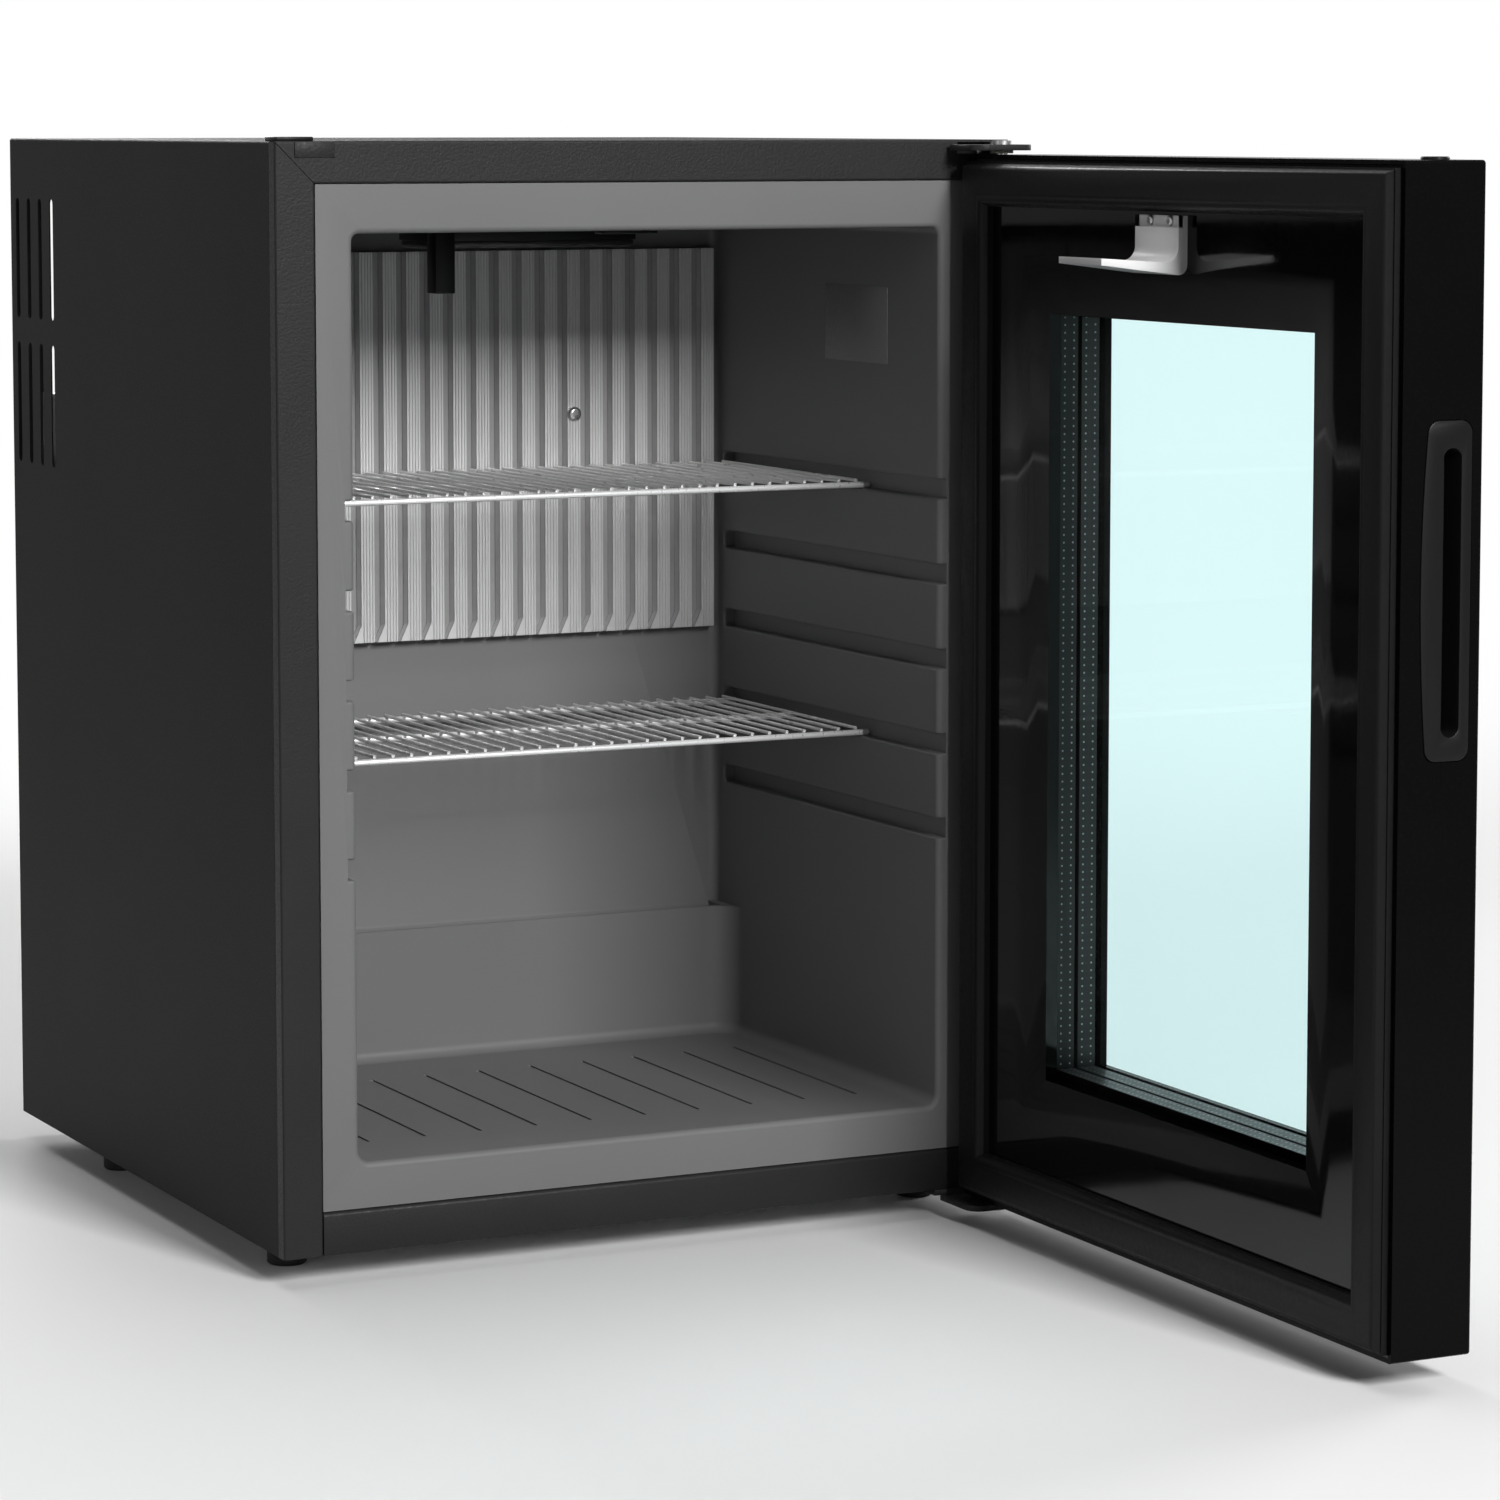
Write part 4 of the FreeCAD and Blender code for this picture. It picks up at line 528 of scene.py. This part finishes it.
@material("spacer_aluminium")
def spacer_aluminium(nodes, surface):
    """Dark bars with two rows of small pale holes along each, upright at the sides and level at the ends."""
    corner = nodes.add("ShaderNodeTexCoord", output="Object")
    across = nodes.add("ShaderNodeSeparateXYZ", {"Vector": corner}, output="X")
    along_y = nodes.add("ShaderNodeSeparateXYZ", {"Vector": corner}, output="Y")
    along_z = nodes.add("ShaderNodeSeparateXYZ", {"Vector": corner}, output="Z")
    from_middle = nodes.math("PINGPONG", nodes.math("SUBTRACT", across, spacer_middle_x), spacer_pitch / 2)
    aside = nodes.math("SUBTRACT", from_middle, spacer_row_spread)
    height = nodes.math("ABSOLUTE", nodes.math("SUBTRACT", along_z, window_middle_z))
    level = nodes.math("GREATER_THAN", height, window_half_height)
    hole_z = nodes.math("PINGPONG", along_z, spacer_hole_pitch / 2)
    hole_y = nodes.math("PINGPONG", along_y, spacer_hole_pitch / 2)
    beside = nodes.add("ShaderNodeMapRange", {"Value": level, "To Min": hole_z, "To Max": hole_y})
    squares = nodes.math("ADD", nodes.math("POWER", aside, 2.0), nodes.math("POWER", beside, 2.0))
    far = nodes.math("SQRT", squares)
    solid = nodes.add(
        "ShaderNodeMapRange",
        {"Value": far, "From Min": 0.6 * spacer_hole_radius, "From Max": spacer_hole_radius},
    )
    surface.set(
        Base_Color=nodes.between(solid, grey(0.55), grey(0.035)),
        Metallic=0.3,
        Roughness=nodes.spread(nodes.noise(500.0, 3.0), 0.36, 0.50),
        Normal=nodes.bump(solid, 0.3, 0.2 * mm),
    )


@material("edge_seal")
def edge_seal(nodes, surface):
    lumps = nodes.noise(120.0, 3.0)
    surface.set(
        Base_Color=nodes.between(lumps, grey(0.008), grey(0.015)),
        Roughness=0.6,
        Normal=nodes.bump(lumps, 0.3, 0.4 * mm),
    )


@material("white_plastic")
def white_plastic(nodes, surface):
    grain = nodes.noise(900.0, 2.0)
    surface.set(
        Base_Color=nodes.between(nodes.noise(40.0), grey(0.78), grey(0.86)),
        Roughness=nodes.spread(grain, 0.32, 0.44),
        Normal=nodes.bump(grain, 0.12, 0.06 * mm),
    )


@material("nylon")
def nylon(nodes, surface):
    surface.set(
        Base_Color=nodes.between(nodes.noise(60.0), (0.62, 0.60, 0.54, 1.0), (0.74, 0.72, 0.66, 1.0)),
        Roughness=nodes.spread(nodes.noise(600.0), 0.40, 0.55),
        Subsurface_Weight=0.1,
        Subsurface_Radius=(0.002, 0.002, 0.001),
    )


def dress_cad_nodes():
    slots = {row["node"]: row["material_slot"] for row in frame["record"]["subparts"]}
    for name, node in frame["nodes"].items():
        node.data.materials.clear()
        node.data.materials.append(materials[slots[name]])


# Floor, world and lamps

def backdrop_shade(nodes, direction):
    """The pale backdrop behind the object, which turns a little darker towards the sides of the room."""
    heading = (math.sin(camera_heading), math.cos(camera_heading), 0.0)
    inputs = {0: direction, 1: heading}
    ahead = nodes.add("ShaderNodeVectorMath", inputs, output="Value", operation="DOT_PRODUCT")
    return nodes.add(
        "ShaderNodeMapRange",
        {
            "Value": ahead,
            "From Min": backdrop_turn_start,
            "From Max": backdrop_turn_end,
            "To Min": room_grey,
            "To Max": backdrop_grey,
        },
        interpolation_type="SMOOTHSTEP",
    )


def make_world():
    world = bpy.data.worlds.new("studio")
    world.use_nodes = True
    tree = world.node_tree
    tree.nodes.clear()
    nodes = Nodes(tree)
    direction = nodes.add("ShaderNodeTexCoord", output="Generated")
    shade = backdrop_shade(nodes, direction)
    seen = nodes.seen_directly()
    strength = nodes.add("ShaderNodeMapRange", {"Value": seen, "To Min": world_light, "To Max": 1.0})
    colour = nodes.add("ShaderNodeCombineColor", {"Red": shade, "Green": shade, "Blue": shade})
    background = nodes.add("ShaderNodeBackground", {"Color": colour, "Strength": strength})
    out = tree.nodes.new("ShaderNodeOutputWorld")
    tree.links.new(background, out.inputs["Surface"])
    bpy.context.scene.world = world


def make_floor():
    deselect_all()
    bpy.ops.mesh.primitive_plane_add(size=floor_size, location=(0.0, 0.0, 0.0))
    floor = bpy.context.active_object
    floor.name = "floor"
    made = bpy.data.materials.new("floor")
    made.use_nodes = True
    tree = made.node_tree
    nodes = Nodes(tree)
    shader = tree.nodes["Principled BSDF"]
    seen = nodes.seen_directly()
    tone = nodes.between(seen, grey(floor_bounce), grey(floor_grey))
    tree.links.new(tone, shader.inputs["Base Color"])
    shader.inputs["Roughness"].default_value = 0.7
    shader.inputs["Specular IOR Level"].default_value = 0.1
    coordinates = nodes.add("ShaderNodeTexCoord", output="Object")
    distance = nodes.add("ShaderNodeVectorMath", {0: coordinates}, output="Value", operation="LENGTH")
    fade = nodes.add(
        "ShaderNodeMapRange",
        {"Value": distance, "From Min": fade_start, "From Max": fade_end},
        interpolation_type="SMOOTHSTEP",
    )
    outwards = nodes.add("ShaderNodeVectorMath", {0: coordinates}, operation="NORMALIZE")
    shade = backdrop_shade(nodes, outwards)
    colour = nodes.add("ShaderNodeCombineColor", {"Red": shade, "Green": shade, "Blue": shade})
    glow = nodes.add("ShaderNodeEmission", {"Color": colour, "Strength": 1.0})
    fade = nodes.math("MULTIPLY", fade, seen)
    mixed = tree.nodes.new("ShaderNodeMixShader")
    tree.links.new(fade, mixed.inputs[0])
    tree.links.new(shader.outputs["BSDF"], mixed.inputs[1])
    tree.links.new(glow, mixed.inputs[2])
    tree.links.new(mixed.outputs[0], tree.nodes["Material Output"].inputs["Surface"])
    floor.data.materials.append(made)


def make_lamp(name, place, target, size, power):
    data = bpy.data.lights.new(name, "AREA")
    data.shape = "RECTANGLE"
    data.size, data.size_y = size
    data.energy = power
    lamp = bpy.data.objects.new(name, data)
    bpy.context.scene.collection.objects.link(lamp)
    lamp.location = place
    lamp.rotation_euler = (Vector(target) - Vector(place)).to_track_quat("-Z", "Y").to_euler()


def make_lamps():
    for name, place, target, size, power in lamps:
        make_lamp(name, place, target, size, power)


# Modelling helpers

def begin_edit(piece):
    deselect_all()
    bpy.context.view_layer.objects.active = piece
    piece.select_set(True)
    bpy.ops.object.mode_set(mode="EDIT")


def end_edit():
    bpy.ops.object.mode_set(mode="OBJECT")


def settled(name):
    """Names the primitive that was just added and puts its place and turn into its mesh."""
    piece = bpy.context.active_object
    piece.name = name
    piece.data.name = name
    bpy.ops.object.transform_apply(location=True, rotation=True, scale=True)
    return piece


def choose_faces(piece, test):
    """In edit mode, selects the faces whose centre and normal pass the test."""
    bpy.ops.mesh.select_mode(type="FACE")
    bpy.ops.mesh.select_all(action="DESELECT")
    shape = bmesh.from_edit_mesh(piece.data)
    for face in shape.faces:
        face.select_set(bool(test(face.calc_center_median(), face.normal)))
    bmesh.update_edit_mesh(piece.data)


def choose_edges(piece, test):
    """In edit mode, selects the edges whose two ends pass the test."""
    bpy.ops.mesh.select_mode(type="EDGE")
    bpy.ops.mesh.select_all(action="DESELECT")
    shape = bmesh.from_edit_mesh(piece.data)
    for edge in shape.edges:
        edge.select_set(bool(test(edge.verts[0].co, edge.verts[1].co)))
    bmesh.update_edit_mesh(piece.data)


def choose_line(piece, x, z):
    """In edit mode, selects the edges that lie at this x and this height."""
    choose_edges(piece, lambda a, b: near(a.x, x) and near(b.x, x) and near(a.z, z) and near(b.z, z))


def choose_points(piece, test):
    """In edit mode, selects the points that pass the test."""
    bpy.ops.mesh.select_mode(type="VERT")
    bpy.ops.mesh.select_all(action="DESELECT")
    shape = bmesh.from_edit_mesh(piece.data)
    for point in shape.verts:
        point.select_set(bool(test(point.co)))
    bmesh.update_edit_mesh(piece.data)


def near(a, b):
    return abs(a - b) < level_distance


def add_box(name, low, high):
    deselect_all()
    low, high = Vector(low), Vector(high)
    bpy.ops.mesh.primitive_cube_add(size=1.0, location=(low + high) / 2, scale=high - low)
    return settled(name)


def add_rod(name, start, direction, radius, length, sides):
    deselect_all()
    direction = Vector(direction)
    middle = Vector(start) + direction * length / 2
    turn = direction.to_track_quat("Z", "Y").to_euler()
    bpy.ops.mesh.primitive_cylinder_add(
        vertices=sides, radius=radius, depth=length, location=middle, rotation=turn
    )
    return settled(name)


def apply_modifier(piece, kind, **settings):
    deselect_all()
    bpy.context.view_layer.objects.active = piece
    piece.select_set(True)
    modifier = piece.modifiers.new(kind.lower(), kind)
    for name, value in settings.items():
        setattr(modifier, name, value)
    bpy.ops.object.modifier_apply(modifier=modifier.name)


def round_edges(piece, width, segments=2, angle=40.0):
    apply_modifier(
        piece,
        "BEVEL",
        width=width,
        segments=segments,
        limit_method="ANGLE",
        angle_limit=math.radians(angle),
        use_clamp_overlap=True,
    )


def smooth(piece, angle=40.0):
    deselect_all()
    bpy.context.view_layer.objects.active = piece
    piece.select_set(True)
    bpy.ops.object.shade_smooth_by_angle(angle=math.radians(angle))


def join(name, pieces):
    deselect_all()
    for piece in pieces:
        piece.select_set(True)
    bpy.context.view_layer.objects.active = pieces[0]
    bpy.ops.object.join()
    whole = bpy.context.active_object
    whole.name = name
    return whole


def install(piece, slot, body, *nodes):
    """Gives a new piece its finish and its body, and hides the nodes that it stands for."""
    piece.data.materials.clear()
    piece.data.materials.append(materials[slot])
    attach(piece, body)
    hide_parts(*nodes)


def body_of(node):
    for body, names in frame["record"]["behaviour"]["bodies"].items():
        if node in names:
            return body


def soften(node, width, segments=2, angle=40.0, chosen=None):
    """Stands in for a node with a copy of it whose sharp or chosen edges are rounded by the width."""
    source = frame["nodes"][node]
    piece = bpy.data.objects.new("soft_" + node, source.data.copy())
    bpy.context.scene.collection.objects.link(piece)
    begin_edit(piece)
    bpy.ops.mesh.select_all(action="SELECT")
    bpy.ops.mesh.remove_doubles(threshold=merge_distance)
    bpy.ops.mesh.dissolve_limited(angle_limit=math.radians(0.4))
    if chosen:
        choose_edges(piece, chosen)
        bpy.ops.mesh.bevel(offset=width, segments=segments, affect="EDGES")
    end_edit()
    bpy.ops.mesh.customdata_custom_splitnormals_clear()
    if not chosen:
        round_edges(piece, width, segments, angle)
    smooth(piece, angle)
    slot = [row["material_slot"] for row in frame["record"]["subparts"] if row["node"] == node][0]
    install(piece, slot, body_of(node), node)
    return piece


# Wire shelves

def make_shelf(node):
    low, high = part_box(node)
    rail_z = low.z + rail_radius
    front_rail_y = low.y + front_rail_inset
    back_rail_y = high.y - wire_overhang
    wire_z = rail_z + rail_radius + wire_radius - weld_sink
    bars = []
    for y in (front_rail_y, middle_rail_y, back_rail_y):
        rail = add_rod(node + "_rail", (low.x, y, rail_z), (1, 0, 0), rail_radius, high.x - low.x, rail_sides)
        begin_edit(rail)
        choose_faces(rail, lambda centre, normal: abs(normal.x) > 0.9)
        bpy.ops.mesh.bevel(offset=rail_radius / 2, segments=3, affect="EDGES")
        end_edit()
        bars.append(rail)
    first_x = low.x + end_wire_inset
    deselect_all()
    bpy.ops.mesh.primitive_circle_add(
        vertices=wire_sides,
        radius=wire_radius,
        fill_type="NGON",
        location=(first_x, high.y, wire_z),
        rotation=(math.pi / 2, 0, 0),
    )
    wire = settled(node + "_wire")
    begin_edit(wire)
    bpy.ops.mesh.select_all(action="SELECT")
    run = high.y - front_rail_y - hook_bend
    bpy.ops.mesh.extrude_region_move(TRANSFORM_OT_translate={"value": (0, -run, 0)})
    bend_centre = (first_x, front_rail_y + hook_bend, wire_z - hook_bend)
    bpy.ops.mesh.spin(steps=hook_steps, angle=math.pi / 2, center=bend_centre, axis=(1, 0, 0))
    bpy.ops.mesh.select_all(action="SELECT")
    bpy.ops.mesh.remove_doubles(threshold=wire_merge_distance)
    bpy.ops.mesh.normals_make_consistent(inside=False)
    end_edit()
    pitch = (high.x - low.x - 2 * end_wire_inset) / (wire_count - 1)
    apply_modifier(
        wire,
        "ARRAY",
        count=wire_count,
        use_relative_offset=False,
        use_constant_offset=True,
        constant_offset_displace=(pitch, 0.0, 0.0),
    )
    shelf = join("wire_" + node, bars + [wire])
    smooth(shelf, 50.0)
    install(shelf, "shelf_wire", node, node)


# Door gasket, one moulded ring with mitred corners

def make_gasket():
    low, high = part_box("door_gasket")
    deselect_all()
    bpy.ops.mesh.primitive_plane_add(
        size=1.0,
        location=(high.x, (low.y + high.y) / 2, (low.z + high.z) / 2),
        rotation=(0, -math.pi / 2, 0),
    )
    ring = bpy.context.active_object
    ring.scale = (high.z - low.z, high.y - low.y, 1.0)
    ring = settled("moulded_gasket")
    begin_edit(ring)
    bpy.ops.mesh.select_all(action="SELECT")
    bpy.ops.mesh.extrude_region_move(TRANSFORM_OT_translate={"value": (-gasket_wall, 0, 0)})
    for inwards, outwards in gasket_steps:
        bpy.ops.mesh.inset(thickness=inwards * mm, depth=outwards * mm, use_even_offset=True)
    bpy.ops.mesh.inset(thickness=gasket_last_step, depth=0.0)
    standing = gasket_wall + sum(step[1] for step in gasket_steps) * mm
    bpy.ops.mesh.extrude_region_move(TRANSFORM_OT_translate={"value": (standing, 0, 0)})
    choose_faces(ring, lambda centre, normal: near(centre.x, high.x) and abs(normal.x) > 0.9)
    bpy.ops.mesh.delete(type="ONLY_FACE")
    choose_edges(ring, lambda a, b: near(a.x, high.x) and near(b.x, high.x))
    bpy.ops.mesh.bridge_edge_loops()
    bpy.ops.mesh.select_all(action="SELECT")
    bpy.ops.mesh.normals_make_consistent(inside=False)
    end_edit()
    smooth(ring, 42.0)
    install(ring, "gasket_rubber", "door", "door_gasket")


# Screws with a domed head and a cross recess

def make_screw(name, seat, direction, head_radius, head_height, shank_radius, shank_length):
    direction = Vector(direction)
    head = add_rod(name, seat, direction, head_radius, head_height, screw_head_sides)
    crown = seat + direction * head_height
    begin_edit(head)
    choose_faces(head, lambda centre, normal: normal.dot(direction) > 0.9)
    bpy.ops.mesh.bevel(offset=dome_share * head_height, segments=5, affect="EDGES")
    end_edit()
    aside = Vector((0, 0, 1))
    along = direction.cross(aside)
    for first, second in ((aside, along), (along, aside)):
        reach = first * head_radius * recess_reach_share
        reach += second * head_radius * recess_width_share
        reach += direction * head_height * recess_depth_share
        size = Vector((abs(reach.x), abs(reach.y), abs(reach.z)))
        cutter = add_box(name + "_cutter", crown - size, crown + size)
        apply_modifier(head, "BOOLEAN", operation="DIFFERENCE", object=cutter, solver="EXACT")
        bpy.data.objects.remove(cutter)
    shank = add_rod(name + "_shank", seat, -direction, shank_radius, shank_length, screw_shank_sides)
    return join(name, [head, shank])


def make_arm_screws():
    low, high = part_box("door_striker")
    seat_x = high.x - arm_leg + arm_land_depth
    middle_y = (low.y + high.y) / 2
    screws = []
    for side in (-1, 1):
        seat = Vector((seat_x, middle_y + side * arm_screw_spread, arm_screw_height))
        head = (arm_screw_head_radius, arm_screw_head_height)
        shank = (arm_screw_shank_radius, arm_screw_shank_length)
        screws.append(make_screw("arm_screw", seat, (-1, 0, 0), *head, *shank))
    pair = join("arm_screws", screws)
    smooth(pair, 35.0)
    install(pair, "steel_fastener", "door", "striker_screws")


def make_plate_screws():
    low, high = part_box("evaporator_screws")
    head_radius = (high.z - low.z) / 2
    seat_y = low.y + plate_screw_head_height
    screws = []
    for x in (low.x + head_radius, high.x - head_radius):
        seat = Vector((x, seat_y, (low.z + high.z) / 2))
        head = (head_radius, plate_screw_head_height)
        shank = (plate_screw_shank_radius, high.y - seat_y)
        screws.append(make_screw("plate_screw", seat, (0, -1, 0), *head, *shank))
    pair = join("plate_screws", screws)
    smooth(pair, 35.0)
    install(pair, "steel_fastener", "cabinet", "evaporator_screws")


# White arm on the door

def make_arm():
    low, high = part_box("door_striker")
    leg_x = high.x - arm_leg
    arm = add_box("door_arm", (leg_x, low.y, low.z), high)
    begin_edit(arm)
    for level in (arm_root_top, arm_screw_land):
        bpy.ops.mesh.select_all(action="SELECT")
        bpy.ops.mesh.bisect(plane_co=(0, 0, level), plane_no=(0, 0, 1))
    choose_faces(arm, lambda centre, normal: normal.x < -0.9 and centre.z < arm_root_top)
    bpy.ops.mesh.extrude_region_move(TRANSFORM_OT_translate={"value": (low.x - leg_x, 0, 0)})
    choose_line(arm, low.x, low.z)
    bpy.ops.transform.translate(value=(0, 0, arm_tip_low - low.z))
    choose_line(arm, low.x, arm_root_top)
    bpy.ops.transform.translate(value=(0, 0, arm_tip_top - arm_root_top))
    choose_faces(arm, lambda centre, normal: normal.x < -0.9 and centre.z > arm_screw_land)
    bpy.ops.mesh.extrude_region_move(TRANSFORM_OT_translate={"value": (arm_land_depth, 0, 0)})
    choose_line(arm, leg_x, arm_root_top)
    bpy.ops.mesh.bevel(offset=arm_inner_round, segments=8, affect="EDGES")
    choose_line(arm, high.x, low.z)
    bpy.ops.mesh.bevel(offset=arm_outer_round, segments=6, affect="EDGES")
    bpy.ops.mesh.select_all(action="SELECT")
    bpy.ops.mesh.remove_doubles(threshold=merge_distance)
    end_edit()
    round_edges(arm, arm_edge_round, 3)
    smooth(arm)
    install(arm, "white_plastic", "door", "door_striker")


# Edges rounded one by one, by node and width in millimetres

softened = {
    "top_corner_cap": 0.5,
    "hinge_slot_cover": 0.5,
    "sensor_cover": 1.0,
    "lamp_housing": 1.2,
    "lamp_lens": 0.6,
    "blank_label": 0.2,
    "light_switch": 0.6,
    "top_hinge_bracket": 0.5,
    "bottom_hinge_bracket": 0.5,
    "handle_insert": 0.7,
    "front_bottom_rail": 0.7,
    "control_box": 1.5,
    "control_box_cover": 0.6,
    "drip_tray": 0.8,
    "mains_inlet": 0.5,
}


def soften_edges():
    for node, width in softened.items():
        soften(node, width * mm)


def soften_flange():
    """Rounds the outer edge of the liner's flange, which catches a thin line of light."""
    low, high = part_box("inner_liner")

    def on_outer_edge(a, b):
        in_front = near(a.y, low.y) and near(b.y, low.y)
        upright = near(abs(a.x), high.x) and near(abs(b.x), high.x) and near(a.x, b.x)
        level = near(a.z, b.z) and (near(a.z, low.z) or near(a.z, high.z))
        return in_front and (upright or level)

    soften("inner_liner", flange_round, 3, chosen=on_outer_edge)


def soften_panel():
    """Rounds the door's inner panel where it turns down to the window, and narrows the window."""
    low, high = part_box("inner_door_panel")
    middle = (low + high) / 2

    def inside(point):
        across = low.y + panel_flat < point.y < high.y - panel_flat
        return across and low.z + panel_flat < point.z < high.z - panel_flat

    def on_turn(a, b):
        return near(a.x, low.x) and near(b.x, low.x) and inside(a) and inside(b)

    def in_well(point):
        return inside(point) and point.x > low.x + lip_depth

    panel = soften("inner_door_panel", panel_round, 5, 15.0, on_turn)
    begin_edit(panel)
    choose_points(panel, lambda point: in_well(point) and point.z > middle.z)
    bpy.ops.transform.translate(value=(0, 0, -lip_in_top))
    choose_points(panel, lambda point: in_well(point) and point.z < middle.z)
    bpy.ops.transform.translate(value=(0, 0, lip_in_low))
    choose_points(panel, lambda point: in_well(point) and point.y > middle.y)
    bpy.ops.transform.translate(value=(0, -lip_in_hinge, 0))
    choose_points(panel, lambda point: in_well(point) and point.y < middle.y)
    bpy.ops.transform.translate(value=(0, lip_in_free, 0))
    end_edit()


make_camera()
make_world()
make_floor()
make_lamps()
dress_cad_nodes()
make_shelf("upper_shelf")
make_shelf("lower_shelf")
make_gasket()
make_arm()
make_arm_screws()
make_plate_screws()
soften_edges()
soften_flange()
soften_panel()

bpy.context.scene.view_settings.view_transform = "Standard"
